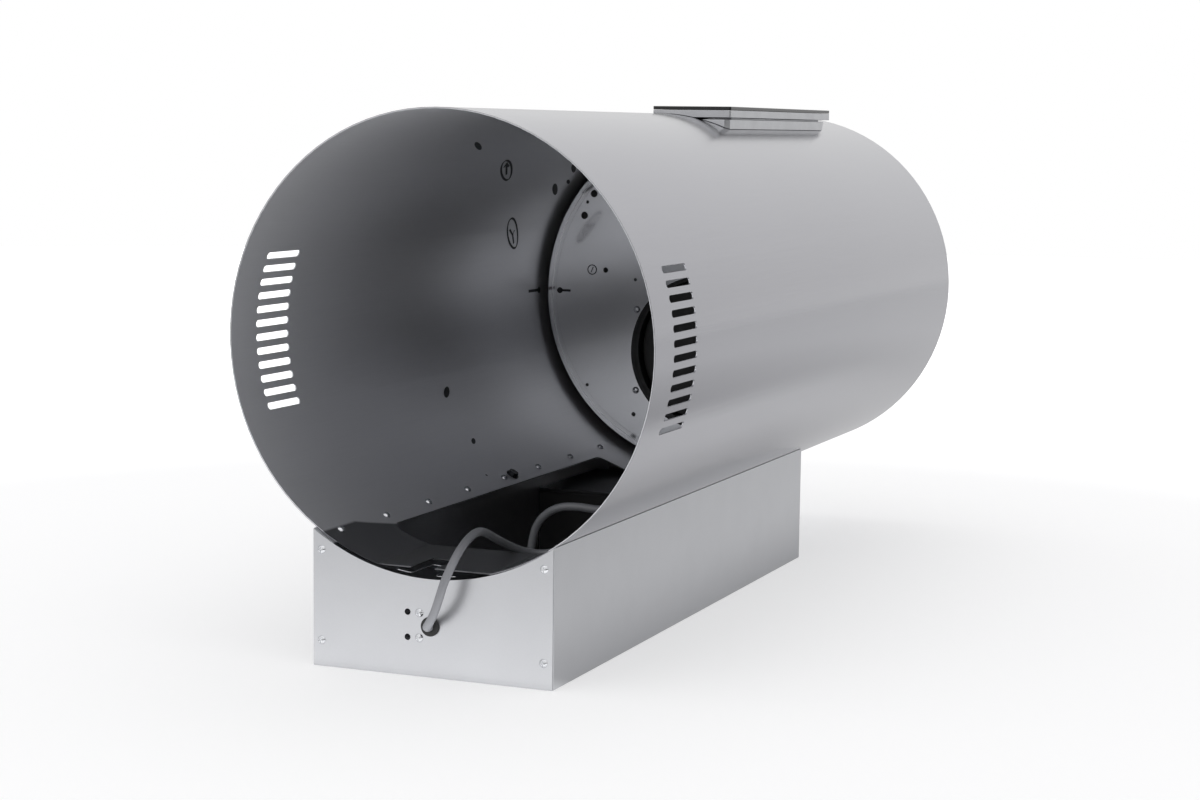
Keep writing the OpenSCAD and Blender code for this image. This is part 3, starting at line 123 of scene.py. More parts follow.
def metal(name, light, dark, roughness, grain, cloud, relief, stretch=(1, 1, 1)):
    """A metal finish: a fine grain under soft clouds. grain and cloud are sizes in millimetres,
    stretch draws the grain out along an axis, and relief is the grain's height in millimetres."""
    material, tree, place = start_material(name)
    fine = specks(tree, place, grain, 3, stretch)
    both = add_node(tree, "ShaderNodeMath", [fine, specks(tree, place, cloud)], operation="ADD").outputs[0]
    shade, worn = [add_node(tree, "ShaderNodeMapRange", [both, *two_noises, low, high]).outputs[0]
                   for low, high in ((0, 1), (roughness * 1.06, roughness * 0.94))]
    colour = add_node(tree, "ShaderNodeMix", {0: shade, 6: linear(dark), 7: linear(light)},
                      data_type="RGBA")
    bump = add_node(tree, "ShaderNodeBump", {"Height": fine, "Distance": relief * mm})
    finish_material(tree, {"Base Color": colour.outputs[2], "Metallic": 1, "Roughness": worn,
                           "Normal": bump.outputs["Normal"]})
    return material


def made_of(mesh, name):
    """An object with the mesh that was built here."""
    data = bpy.data.meshes.new(name)
    mesh.to_mesh(data)
    mesh.free()
    return bpy.data.objects.new(name, data)


def stand_for(piece, material, *names):
    """Puts a piece on the body of the nodes that it stands for, with their finish."""
    bpy.context.scene.collection.objects.link(piece)
    piece.data.materials.append(material)
    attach(piece, bodies[names[0]])
    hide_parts(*names)
    return piece


def ease(material, edge, *names, clamp=False):
    """Stands pieces with eased edges for nodes. edge is the width of the easing in millimetres, and
    clamp holds it back where edges are closer together than that."""
    for name in names:
        mesh = bmesh.new()
        mesh.from_mesh(frame["nodes"][name].data)
        bmesh.ops.remove_doubles(mesh, verts=mesh.verts, dist=same_point * mm)
        bmesh.ops.dissolve_limit(mesh, angle_limit=math.radians(flat_angle), verts=mesh.verts,
                                 edges=mesh.edges)
        for face in mesh.faces:
            face.smooth = True
        piece = stand_for(made_of(mesh, name + "_finished"), material, name)
        bevel = piece.modifiers.new("eased_edges", "BEVEL")
        bevel.width = edge * mm
        bevel.segments = 2
        bevel.limit_method = "ANGLE"
        bevel.angle_limit = math.radians(edge_angle)
        bevel.use_clamp_overlap = clamp
        flat = piece.modifiers.new("flat_faces", "WEIGHTED_NORMAL")
        flat.weight = flat_weight


galvanised = metal("galvanised_steel", "#C0C1C4", "#BDBEC1",
                   roughness=0.3, grain=0.9, cloud=40, relief=0.005)
ease(galvanised, 0.4, "rear_box")


# End plates: two flat plates of the same galvanised sheet, each held to the box's tabs by four
# pan-head screws. The screws are zinc plated and bright, with a crisp highlight on each head.
def dress(material, *names):
    """Gives CAD nodes their material."""
    for name in names:
        for slot in frame["nodes"][name].material_slots:
            slot.material = material


ease(galvanised, 0.25, "front_end_plate", "rear_end_plate")
zinc_plate = metal("zinc_plated_steel", "#DEDFE1", "#C6C8CC",
                   roughness=0.18, grain=0.8, cloud=6, relief=0.003)
dress(zinc_plate, "end_plate_screws")


# Cable grommet and clamp: the grommet is black EPDM rubber pressed into the front plate, and the
# clamp behind it is glass-filled black nylon on two screws. Both are dark, with a faint sheen.
def moulded(name, light, dark, roughness, grain, relief, ior=1.5, blotch=12):
    """A moulded plastic or rubber: a fine spark-eroded grain and slight blotches, in millimetres."""
    material, tree, place = start_material(name)
    fine = specks(tree, place, grain)
    shade, worn = [add_node(tree, "ShaderNodeMapRange", [spread, *one_noise, low, high]).outputs[0]
                   for spread, low, high in ((specks(tree, place, blotch), 0, 1),
                                             (fine, roughness * 0.88, roughness * 1.12))]
    colour = add_node(tree, "ShaderNodeMix", {0: shade, 6: linear(dark), 7: linear(light)},
                      data_type="RGBA")
    bump = add_node(tree, "ShaderNodeBump", {"Height": fine, "Distance": relief * mm})
    finish_material(tree, {"Base Color": colour.outputs[2], "Roughness": worn, "IOR": ior,
                           "Normal": bump.outputs["Normal"]})
    return material


rubber = moulded("epdm_rubber", "#101011", "#0B0B0C", roughness=0.6, grain=0.5, relief=0.01, ior=1.52)
black_nylon = moulded("glass_filled_nylon", "#1D1E20", "#151618",
                      roughness=0.42, grain=0.4, relief=0.012, ior=1.53)
ease(rubber, 0.5, "cable_grommet")
ease(black_nylon, 0.4, "cable_clamp", clamp=True)
dress(zinc_plate, "clamp_screws")


# Mains cord: one round grey PVC cable, 6.5 mm thick. It leaves the grommet, rises over the rim into
# the cylinder, comes back round through the cut-out and lies coiled in the box with its plug.
def lead(name, points, diameter):
    """A round lead along points in millimetres, as one smooth curve."""
    curve = bpy.data.curves.new(name, "CURVE")
    curve.dimensions = "3D"
    curve.bevel_depth = diameter / 2 * mm
    curve.bevel_resolution = 5
    curve.resolution_u = 4
    curve.use_fill_caps = True
    line = curve.splines.new("BEZIER")
    line.bezier_points.add(len(points) - 1)
    for knot, point in zip(line.bezier_points, points):
        knot.co = Vector(point) * mm
        knot.handle_left_type = knot.handle_right_type = "AUTO"
    return bpy.data.objects.new(name, curve)


cord_d, cord_length = 6.5, 1.5
exit_point = (0, -287.32, 39)
cord_way = [
    exit_point, (0, -296, 39), (0, -303, 39), (2.5, -311, 41), (7.5, -317.5, 45.5),
    (13, -320.5, 54), (17, -321, 64.5), (20, -319, 76), (22.5, -313, 87), (23.5, -304, 95.5),
    (23.5, -293, 101.5), (23, -280, 105.5), (22.5, -266, 107), (22, -252, 104.5), (22, -238, 99),
    (22.3, -223, 93), (24, -209, 87), (28, -197, 82), (35, -188, 79), (44, -184, 79),
    (54, -185, 82.5), (64, -189, 89), (74, -194, 97), (84, -198, 105.5), (95, -199, 114),
    (105, -196, 122), (113, -188, 129), (118, -176, 133), (116, -164, 132), (109, -153, 126),
    (98, -146, 117), (86, -144, 112), (74, -145, 110), (50, -146, 111), (37, -146, 109),
    (26, -145, 103), (18, -144, 94), (14, -144, 83), (13, -145, 68), (16, -144, 54),
    (21, -140, 41), (23, -130, 29), (18, -116, 18), (10, -100, 10), (5, -80, 6.5),
    (3.5, -64, 5.7), (3.5, -51.5, 5.65)]
# The coil winds inwards on the wall panel, climbs one step half way, over rise_turns, and winds out
# again on top.
coil_x, coil_y, coil_z = 45, -45, 5.65
coil_r, turn_step, coil_turns, rise_turns, knots_per_turn = 41.5, 7.2, 3.5, 0.5, 24
for knot in range(int(coil_turns * knots_per_turn) + 1):
    turn = knot / knots_per_turn
    angle = math.pi - turn * math.tau
    reach = coil_r - turn_step * min(turn, coil_turns - turn)
    climb = min(max((turn - coil_turns / 2) / rise_turns + 0.5, 0), 1)
    cord_way.append((coil_x + reach * math.cos(angle), coil_y + reach * math.sin(angle),
                     coil_z + turn_step * climb))
cord_way += [(86.5, -51.5, 12.85), (86.5, -64, 13), (85.5, -78, 14), (83, -93, 16.5),
             (80, -107, 19), (78, -121.5, 20.2), (78, -128, 20.2)]
# Soft PVC drawn over the cores: smooth, mid grey, with one long soft highlight.
sheath = moulded("grey_pvc_sheath", "#6C6D71", "#626367",
                 roughness=0.42, grain=0.7, relief=0.01, ior=1.53, blotch=40)
mains_cord = stand_for(lead("mains_cord", cord_way, cord_d), sheath,
                       "mains_cord_lead", "mains_cord_coil", "mains_cord_tail")

# Plug and cord tie: a grey PVC plug moulded round its two round pins, with a tapered neck over the
# cord, and a nylon tie that holds the coil's turns together. The plug is a shade lighter than the
# cord and as smooth, and the tie is milky white.
plug_pvc = moulded("moulded_pvc", "#7F8084", "#747579",
                   roughness=0.38, grain=0.6, relief=0.012, ior=1.53, blotch=20)
nylon = moulded("natural_nylon", "#E6E4DC", "#DCDAD0", roughness=0.35, grain=0.5, relief=0.01, ior=1.53)
ease(plug_pvc, 0.6, "mains_plug")
ease(nylon, 0.25, "cord_tie")

# Control box: a black ABS tray and lid that hold the power board, with the supply lead in at one
# end. The board is green solder mask over glass fibre, and its terminal block is white nylon.
# ABS from a spark-eroded mould is deep black with a fine dull grain.
black_abs = moulded("black_abs", "#0F0F10", "#0B0B0C", roughness=0.45, grain=0.6, relief=0.015, ior=1.54)
ease(black_abs, 0.5, "control_box", "control_box_lid")
# Solder mask is a glossy green skin, mottled where the copper runs under it.
solder_mask = moulded("green_solder_mask", "#1F6B40", "#185734",
                      roughness=0.3, grain=0.8, relief=0.01, ior=1.5, blotch=4)
dress(solder_mask, "power_board")
# Nylon is a warm white with a waxy sheen.
white_nylon = moulded("white_nylon", "#EDECE8", "#E2E1DC",
                      roughness=0.4, grain=0.5, relief=0.01, ior=1.53)
ease(white_nylon, 0.3, "terminal_block")
supply_way = [
    exit_point, (0, -281, 39), (0, -270, 38), (-3, -250, 33), (-9, -220, 22), (-16, -190, 12),
    (-22, -160, 7), (-28, -120, 5), (-34, -80, 5), (-38, -40, 6), (-40, 0, 10), (-41, 30, 17),
    (-42, 60, 26), (-42, 90, 36), (-42, 106, 39.5), (-42, 117.5, 40), (-42, 124, 40)]
stand_for(lead("supply_cable", supply_way, cord_d), sheath, "supply_lead")

# Motor and panel leads: a black rubber lead goes up through a bush in the outlet plate to the motor,
# and a thin one in smooth white PVC follows the cylinder's wall to the touch panel.
motor_lead_d, panel_lead_d = 6, 3
motor_way = [
    (-10.8, 218, 50), (-4.8, 218, 50), (3, 218, 51), (14, 217, 54), (26, 215, 60), (37, 213, 68),
    (46, 212, 78), (54, 211, 89), (61, 211, 101), (68, 213, 113), (75, 218, 125), (80, 225, 136),
    (84, 234, 146), (87, 245, 154), (88, 258, 160), (88, 272, 164), (88, 284, 165), (88, 303, 165),
    (88, 318, 165), (88, 333, 167), (88, 348, 172), (88, 362, 182), (87, 375, 196), (86, 387, 211),
    (84, 396, 228), (79, 400, 239), (72, 400, 242), (63, 400, 242)]
stand_for(lead("motor_cable", motor_way, motor_lead_d), rubber, "motor_lead")
dress(rubber, "lead_bush")
# The panel lead drops through the wall, then runs down the right side at lead_reach from the axis,
# with a point at each 12 degrees from 80 above the level to 52 below it.
axis_z, lead_y, lead_reach = 250, 313, 170.4
panel_way = [(across, lead_y, height) for across, height in (
    (16.25, 426.8), (16.25, 425.3), (17.75, 422.3), (19.25, 419.3))]
panel_way += [(lead_reach * math.cos(math.radians(a)), lead_y,
               axis_z + lead_reach * math.sin(math.radians(a))) for a in range(80, -53, -12)]
panel_way += [
    (93, 311, 107), (88, 304, 104), (86, 294, 103), (85, 280, 102), (82, 265, 101), (77, 248, 99),
    (71, 232, 95), (65, 217, 89), (58, 203, 81), (48, 191, 73), (34, 181, 66), (18, 174, 61),
    (4, 171, 58.5), (-7.8, 170, 58), (-10.8, 170, 58)]
white_pvc = moulded("white_pvc", "#E4E3DF", "#D9D8D3", roughness=0.4, grain=0.5, relief=0.01, ior=1.53)
stand_for(lead("panel_cable", panel_way, panel_lead_d), white_pvc, "panel_lead")

# Outer cylinder: one stainless steel sheet rolled round to a seam that stands flat in the box. The
# outside is brushed along its length and reads as soft satin; the inside keeps its dull mill finish.
# On the flat foot of the mouth, before the cut-out, the inside is painted dark grey: painted shade.
sheet_middle_r = 174.5
material, tree, place = start_material("brushed_stainless")
# Grit lines are under 0.1 mm apart. They are drawn 0.8 mm apart, so that a trace of them shows.
grit, grit_length, grit_relief, sweep_size = 0.8, 90, 0.002, 300
lines = specks(tree, place, grit, 2, (1, grit_length, 1))
both = add_node(tree, "ShaderNodeMath", [lines, specks(tree, place, sweep_size)], operation="ADD")
shade = add_node(tree, "ShaderNodeMapRange", [both.outputs[0], *two_noises, 0, 1]).outputs[0]
brushed, mill = [
    add_node(tree, "ShaderNodeMix", {0: shade, 6: linear(dark), 7: linear(light)}, data_type="RGBA")
    for dark, light in (("#A8A8AD", "#ABABB0"), ("#BFC0C4", "#C3C4C8"))]
# The inside is what lies nearer the axis than the middle of the sheet.
around = place
for work, value in (("SUBTRACT", (0, 0, axis_z * mm)), ("MULTIPLY", (1, 0, 1))):
    around = add_node(tree, "ShaderNodeVectorMath", [around, value], operation=work).outputs[0]
radius = add_node(tree, "ShaderNodeVectorMath", [around], operation="LENGTH").outputs["Value"]
inside = add_node(tree, "ShaderNodeMath", [radius, sheet_middle_r * mm], operation="LESS_THAN").outputs[0]
# Painted shade: the dark patch reaches the side width to either side as far as its end along the
# cylinder, and the end width at that end, which it narrows to over the taper.
painted_shade_side, painted_shade_end, painted_shade_end_side, painted_shade_taper, painted_shade_fade = 93.5, -200, 80, 45, 1
x, y, z = add_node(tree, "ShaderNodeSeparateXYZ", [place]).outputs
side = add_node(tree, "ShaderNodeMapRange", [y, (painted_shade_end - painted_shade_taper) * mm, painted_shade_end * mm,
                                             painted_shade_side * mm, painted_shade_end_side * mm]).outputs[0]
aside = add_node(tree, "ShaderNodeMath", [x], operation="ABSOLUTE").outputs[0]
margin = add_node(tree, "ShaderNodeMath", [side, aside], operation="SUBTRACT").outputs[0]
painted_shade = add_node(tree, "ShaderNodeMapRange", [margin, -painted_shade_fade * mm, painted_shade_fade * mm, 0, 1]).outputs[0]
for along, start, end in ((y, painted_shade_end, painted_shade_end + painted_shade_fade), (z, axis_z / 2, axis_z)):
    kept = add_node(tree, "ShaderNodeMapRange", [along, start * mm, end * mm, 1, 0]).outputs[0]
    painted_shade = add_node(tree, "ShaderNodeMath", [painted_shade, kept], operation="MULTIPLY").outputs[0]
# Painted shade: over the patch the mill colour turns dark grey, #58595C.
mill = add_node(tree, "ShaderNodeMix", {0: painted_shade, 6: mill.outputs[2], 7: linear("#58595C")},
                data_type="RGBA")
colour = add_node(tree, "ShaderNodeMix", {0: inside, 6: brushed.outputs[2], 7: mill.outputs[2]},
                  data_type="RGBA")
# Outside, then inside: a mill finish is duller and rougher than a brushed one.
metallic, roughness = [
    add_node(tree, "ShaderNodeMapRange", [inside, 0, 1, out, within]).outputs[0]
    for out, within in ((1, 0.7), (0.17, 0.36))]
bump = add_node(tree, "ShaderNodeBump", {"Height": lines, "Distance": grit_relief * mm})
finish_material(tree, {"Base Color": colour.outputs[2], "Metallic": metallic, "Roughness": roughness,
                       "Normal": bump.outputs["Normal"]})
dress(material, "outer_cylinder")
dress(zinc_plate, "cylinder_screws")
# The earth screw is chemically blackened: nearly black, under a dull oily film.
black_oxide = metal("black_oxide_steel", "#4A4B4E", "#2C2D2F",
                    roughness=0.4, grain=1.2, cloud=5, relief=0.01)
dress(black_oxide, "earth_screw")


# Rim burrs: the notch for the cord was cut out of the rim by hand. A thin bare burr stands along its
# edges and a little way along the rim, bright where the cut metal is fresh.
def trim(piece, material):
    """Fixes thin trim, which stands for no node, to the hood."""
    bpy.context.scene.collection.objects.link(piece)
    piece.data.materials.append(material)
    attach(piece, "hood")
    return piece


rim_y, burr_reach, burr_d = -295, 173.6, 0.7
burr_way = [(-30, 0.3), (-24, 0.5), (-19.6, 1), (-18.6, 5), (-18.8, 14), (-18.5, 27), (-18, 36),
            (-14, 36.6), (-9, 37.2), (-3, 36.4), (0.4, 36.2), (0.8, 26), (0.6, 12), (0.8, 3),
            (2.6, 0.8), (9, 0.4), (18, 0.6)]
burr_points = [(across, rim_y + depth, axis_z - math.sqrt(burr_reach ** 2 - across ** 2))
               for across, depth in burr_way]
cut_steel = metal("bare_cut_steel", "#E4E5E8", "#C4C6CA", roughness=0.2, grain=0.6, cloud=3, relief=0.01)
trim(lead("rim_burrs", burr_points, burr_d), cut_steel)

# Fitter's marks: felt-tip dots, a pair of alignment strokes across the gap, and ringed strokes that
# say a test was passed. Dry ink is a thin matt black film on the bare metal.
wall_r, plate_y = 174, 296


def on_wall(angle, depth):
    """A way onto the inner wall round a spot: across is along the wall, up is along the cylinder."""
    def place(across, up, off):
        turn = math.radians(angle) + across / wall_r
        reach = (wall_r - off) * mm
        return Vector((reach * math.cos(turn), (depth + rim_y + up) * mm,
                       axis_z * mm + reach * math.sin(turn)))
    return place


def on_plate(angle, reach):
    """A way onto the outlet plate round a spot."""
    turn = math.radians(angle)
    def place(across, up, off):
        return Vector(((reach * math.cos(turn) + up) * mm, (plate_y - off) * mm,
                       (axis_z + reach * math.sin(turn) + across) * mm))
    return place


def join(mesh, rings, closed=False):
    """Adds faces from each ring of four corners to the next, and closes the ends of an open row."""
    for one, two in zip(rings, rings[1:] + rings[:1] if closed else rings[1:]):
        for a in range(4):
            mesh.faces.new((one[a], one[(a + 1) % 4], two[(a + 1) % 4], two[a]))
    if not closed:
        mesh.faces.new(rings[0][::-1])
        mesh.faces.new(rings[-1])


def draw(mesh, place, stroke, width, closed=False, film=(0.1, 0.2)):
    """Adds a film of ink along a stroke. The film lies between two heights over the metal."""
    rings = []
    for number, point in enumerate(stroke):
        before = stroke[number - 1] if number or closed else point
        after = stroke[(number + 1) % len(stroke)] if closed or number + 1 < len(stroke) else point
        along = (Vector(after) - Vector(before)).normalized() * width / 2
        left, right = (point[0] - along.y, point[1] + along.x), (point[0] + along.y, point[1] - along.x)
        rings.append([mesh.verts.new(place(*side, height))
                      for side, height in zip((left, left, right, right), film + film[::-1])])
    join(mesh, rings, closed)


def ring(across, up, points=28):
    """The points of an oval."""
    return [(across * math.cos(math.tau * i / points), up * math.sin(math.tau * i / points))
            for i in range(points)]


def lean(stroke, slope):
    """A stroke drawn aslant, as the fitter's hand leaned along the cylinder."""
    return [(across, up + slope * across) for across, up in stroke]


def blot(mesh, place, outline, film=(0.1, 0.2)):
    """Adds a filled spot of ink inside an outline."""
    lower, upper = [[mesh.verts.new(place(*point, height)) for point in outline] for height in film]
    mesh.faces.new(lower)
    mesh.faces.new(upper[::-1])
    for number in range(len(outline)):
        mesh.faces.new((lower[number - 1], lower[number], upper[number], upper[number - 1]))


def facing_out(mesh):
    """The mesh with all its faces turned outwards."""
    bmesh.ops.recalc_face_normals(mesh, faces=mesh.faces)
    return mesh


wall_pen, pen, thin_pen, dot_points, oval_half_length = 2.8, 2.2, 0.9, 20, 11.5
marks = bmesh.new()
# Dots: degrees round the cylinder, depth from the rim, width, length along the cylinder, and slope.
for angle, depth, width, length, slope in (
        (123.8, 277.5, 12.5, 13, 2.3), (135.3, 551, 13, 11.5, 1.6), (144.3, 546.5, 14.5, 13, 1.37),
        (141.4, 566.7, 5.5, 8.5, 1.45), (-153.6, 339, 10, 11.5, -0.9), (-136.6, 334, 6, 8, -0.9),
        (-124.1, 300.6, 2.5, 2.5, 0), (180, 584, 6.5, 6.5, 0)):
    blot(marks, on_wall(angle, depth), lean(ring(width / 2, length / 2, dot_points), slope))
# Ringed marks: degrees, depth, half the oval's width, slope, and the strokes inside it.
for angle, depth, half_width, slope, strokes in (
        (135.4, 395, 13, 1.54, ([(-9.5, 0), (6, 0)], [(-3.5, -5), (-9.5, 0), (-4.5, 5)])),
        (159.8, 496, 16, 0.95, ([(2, 0), (11, 0)], [(-4, -6), (2, 0), (-3, 5)]))):
    draw(marks, on_wall(angle, depth), lean(ring(half_width, oval_half_length), slope), pen, True)
    for stroke in strokes:
        draw(marks, on_wall(angle, depth), lean(stroke, slope), pen)
# On the plate: a small ringed tick. Then the two halves of the alignment mark, level with the axis,
# on the wall and on the plate.
tick, tick_r, plate_dot_r = on_plate(169.7, 121.4), 4.6, 3
draw(marks, tick, ring(tick_r, tick_r), thin_pen, True)
draw(marks, tick, [(-2.4, -1), (0, 0), (2.6, 1.2)], thin_pen)
draw(marks, on_wall(180, 571), [(0, -12), (0, 0), (0, 12)], wall_pen)
blot(marks, on_plate(180, 154), ring(plate_dot_r, plate_dot_r, dot_points))
draw(marks, on_plate(180, 148), [(0, -5.5), (0, 0), (0, 5.5)], pen)
ink = moulded("felt_tip_ink", "#232429", "#15161A", roughness=0.6, grain=0.8, relief=0.002, blotch=3)
trim(made_of(facing_out(marks), "felt_tip_marks"), ink)

# Outlet plate: a disc of aluminium-zinc coated steel with a drawn collar for the duct, held by four
# screws. Its coating shows faint spangle and cloudy patches where the sheet was wiped.
spangled = metal("zinc_spangle_steel", "#E0E1E4", "#DBDCDF",
                 roughness=0.11, grain=1.6, cloud=35, relief=0.001)
ease(spangled, 0.3, "outlet_plate")
dress(zinc_plate, "outlet_screws")

# Blower casing: a drum of steel sheet that carries the blower, held off the cylinder by five black
# rubber spacers. Its matt near black, with a slight orange peel, is painted shade: it keeps the
# outlet plate's holes and the gap round the plate dark.
casing_painted_shade = moulded("black_casing_painted_shade", "#141415", "#0E0E0F", roughness=0.5, grain=1.2, relief=0.02)
dress(casing_painted_shade, "blower_casing")
dress(rubber, "casing_spacers")

# Non-return valve: a moulded black ABS ring with two flaps on one steel spindle. The flaps are thin
# plates with stiffening ribs, matt from a fine moulded grain. The spindle is ground to a clean shine.
ease(black_abs, 0.3, "flap_ring", "left_flap", "right_flap")
ground_steel = metal("ground_steel", "#C9CACC", "#B2B4B8",
                     roughness=0.22, grain=0.5, cloud=5, relief=0.002)
dress(ground_steel, "flap_spindle")

# Blower: a scroll in two moulded halves of glass-filled polypropylene, four screws, and a double-inlet
# impeller moulded in glass-filled polyamide, on the motor's shaft. The glass fibre leaves both a flat
# mid grey, and the impeller is the darker and smoother of the two.
polypropylene = moulded("filled_polypropylene", "#6C6F74", "#5F6267",
                        roughness=0.5, grain=0.7, relief=0.015, ior=1.49, blotch=25)
dress(polypropylene, "scroll_left", "scroll_right")
dress(zinc_plate, "blower_screws")
polyamide = moulded("glass_filled_polyamide", "#57595E", "#4B4D52",
                    roughness=0.45, grain=0.6, relief=0.012, ior=1.53)
dress(polyamide, "impeller")

# Motor: pressed steel cups in bright zinc round the stator, on a three-armed bracket with rubber
# bushes. Its windings are enamelled copper wire, and the shaft turns in two ground bearings.
pressed_zinc = metal("pressed_zinc_steel", "#CFD1D4", "#B9BBBF",
                     roughness=0.28, grain=1.2, cloud=18, relief=0.004)
dress(pressed_zinc, "motor_cup_outer", "motor_cup_inner", "motor_bracket", "capacitor_clip")
# The rotor's laminations are 0.6 mm sheets, whose edges show as fine dull rings.
laminations = metal("stacked_lamination_steel", "#9A9CA0", "#6F7175",
                    roughness=0.4, grain=0.6, cloud=8, relief=0.05, stretch=(1, 6, 6))
dress(laminations, "motor_rotor")
# Winding wire is 0.5 mm thick, laid side by side round the stator, and glossy red brown.
copper = metal("enamelled_copper", "#C8713A", "#8C431C",
               roughness=0.3, grain=0.5, cloud=4, relief=0.08, stretch=(1, 8, 8))
dress(copper, "motor_stator")
dress(ground_steel, "motor_shaft", "motor_bearings")
dress(rubber, "motor_bushes")
dress(zinc_plate, "motor_bolts")

# Run capacitor: a moulded white can with rounded edges, in a zinc-plated clip on the scroll. It has
# the same waxy white as the terminal block.
ease(white_nylon, 0.8, "capacitor")

# Intake fascia: the sheet steel face at the hob's end, with a folded skirt, two screws, and two
# round lamps in turned bezels. Fine turning leaves the bezels a soft even shine, and each lamp's
# glass is frosted, so that it glows evenly.
dress(spangled, "intake_fascia")
dress(zinc_plate, "fascia_screws")
turned_aluminium = metal("turned_aluminium", "#D5D6D8", "#C4C5C8",
                         roughness=0.24, grain=0.5, cloud=10, relief=0.003)
ease(turned_aluminium, 0.4, "lamp_bezels")
dress(turned_aluminium, "lamp_bodies")
material, tree, place = start_material("frosted_glass")
frost_grain, frost_relief = 0.5, 0.01
frost = specks(tree, place, frost_grain)
shade = add_node(tree, "ShaderNodeMapRange", [frost, *one_noise, 0, 1]).outputs[0]
colour = add_node(tree, "ShaderNodeMix", {0: shade, 6: linear("#EEF1F2"), 7: linear("#F8FAFA")},
                  data_type="RGBA")
bump = add_node(tree, "ShaderNodeBump", {"Height": frost, "Distance": frost_relief * mm})
finish_material(tree, {"Base Color": colour.outputs[2], "Roughness": 0.35, "IOR": 1.5,
                       "Transmission Weight": 0.7, "Normal": bump.outputs["Normal"]})
dress(material, "lamp_lenses")

# Grease filter: layers of expanded aluminium in a folded aluminium frame, with a bent pull, on two
# steel pins. Magnets at the far side hold it shut. The mesh is slit and drawn, bright on its edges.
# The frame is etched to a soft satin.
satin_aluminium = metal("satin_aluminium", "#B9BABD", "#AEAFB2",
                        roughness=0.32, grain=0.7, cloud=15, relief=0.002)
ease(satin_aluminium, 0.4, "filter_frame", "filter_pull", clamp=True)
dress(ground_steel, "filter_pins")
# Nickel keeps the magnets from rust. It is bright, with a warm tinge.
nickel = metal("nickel_plate", "#D6D3CC", "#C7C4BC", roughness=0.2, grain=0.8, cloud=6, relief=0.003)
dress(nickel, "filter_magnets")
pad_low, pad_high = [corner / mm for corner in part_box("filter_mesh")]
diamond_x, diamond_z, strand_w, strand_t, strand_rise, layers = 10, 5, 1.5, 0.5, 0.6, 5
steps_x = round((pad_high.x - pad_low.x) / diamond_x) * 2
rows_z = round((pad_high.z - pad_low.z) / diamond_z)
step_x, step_z = (pad_high.x - pad_low.x) / steps_x, (pad_high.z - pad_low.z - strand_w) / rows_z
expanded = bmesh.new()
for layer in range(layers):
    level = pad_low.y + (pad_high.y - pad_low.y) * (layer + 0.5) / layers
    for row in range(rows_z):
        sections = []
        for step in range(steps_x + 1):
            up = (step + row + layer) % 2
            middle = Vector((pad_low.x + step * step_x, level + (up - 0.5) * strand_rise,
                             pad_low.z + strand_w / 2 + (row + up) * step_z))
            sections.append([expanded.verts.new((middle + Vector((0, y, z))) * mm) for y, z in (
                (-strand_t / 2, -strand_w / 2), (strand_t / 2, -strand_w / 2),
                (strand_t / 2, strand_w / 2), (-strand_t / 2, strand_w / 2))])
        join(expanded, sections)
expanded_aluminium = metal("expanded_aluminium", "#D2D3D5", "#C0C1C4",
                           roughness=0.3, grain=0.6, cloud=8, relief=0.004)
stand_for(made_of(facing_out(expanded), "expanded_mesh"), expanded_aluminium, "filter_mesh")

# Touch panel: a tray of satin aluminium on a shaped saddle that follows the cylinder, with the touch
# board under a black tempered glass. The glass is polished and mirrors the room, and has five thin
# printed rings for its fields.
ease(satin_aluminium, 0.35, "panel_saddle", "panel_frame")
dress(solder_mask, "touch_board")
black_glass = moulded("black_tempered_glass", "#0B0B0C", "#08080A",
                      roughness=0.06, grain=20, relief=0.001, ior=1.52, blotch=60)
ease(black_glass, 0.4, "touch_glass")
glass_low, glass_high = [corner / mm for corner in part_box("touch_glass")]
fields, field_pitch, field_r, line_w, dot_r, dot_w, print_depth = 5, 34, 7, 0.7, 0.8, 1.5, 0.15
field_points, centre_points = 48, 16


def on_glass(number):
    """A way onto the glass round one field."""
    def place(across, up, off):
        return Vector(((glass_low.x + glass_high.x) / 2 + across, (glass_low.y + glass_high.y) / 2 + up
                       + (number - (fields - 1) / 2) * field_pitch, glass_high.z - print_depth + off)) * mm
    return place


rings = bmesh.new()
for number in range(fields):
    draw(rings, on_glass(number), ring(field_r, field_r, field_points), line_w, True)
    draw(rings, on_glass(number), ring(dot_r, dot_r, centre_points), dot_w, True)
white_print = moulded("white_print", "#D9DBDD", "#CFD1D3", roughness=0.4, grain=0.5, relief=0.002)
trim(made_of(facing_out(rings), "touch_field_rings"), white_print)


# Studio: a pale paper floor that keeps the hood's shadow, under a white sweep and a bright ceiling.
# The eye sees them white, also through glass. Metal mirrors the sweep, the room before it, which is
# dark at eye level on the right, and glow painted on the paper before and beside the box. Two soft lamps.
def level_for(tree, lit, mirrored, seen):
    """The brightness for each ray: what lights the hood, what metal mirrors, and what the eye sees,
    straight or through glass."""
    ray = add_node(tree, "ShaderNodeLightPath").outputs
    eye = add_node(tree, "ShaderNodeMath", [ray["Is Camera Ray"], ray["Is Transmission Ray"]],
                   operation="MAXIMUM").outputs[0]
    for choice, level in ((ray["Is Glossy Ray"], mirrored), (eye, seen)):
        lit = add_node(tree, "ShaderNodeMix", {0: choice, 2: lit, 3: level}).outputs[0]
    return lit


plain_light, white = 0.85, 1
world = bpy.data.worlds.new("studio")
bpy.context.scene.world = world
world.use_nodes = True
tree = world.node_tree
tree.nodes.clear()
way = add_node(tree, "ShaderNodeTexCoord").outputs["Generated"]
x, y, z = add_node(tree, "ShaderNodeSeparateXYZ", [way]).outputs
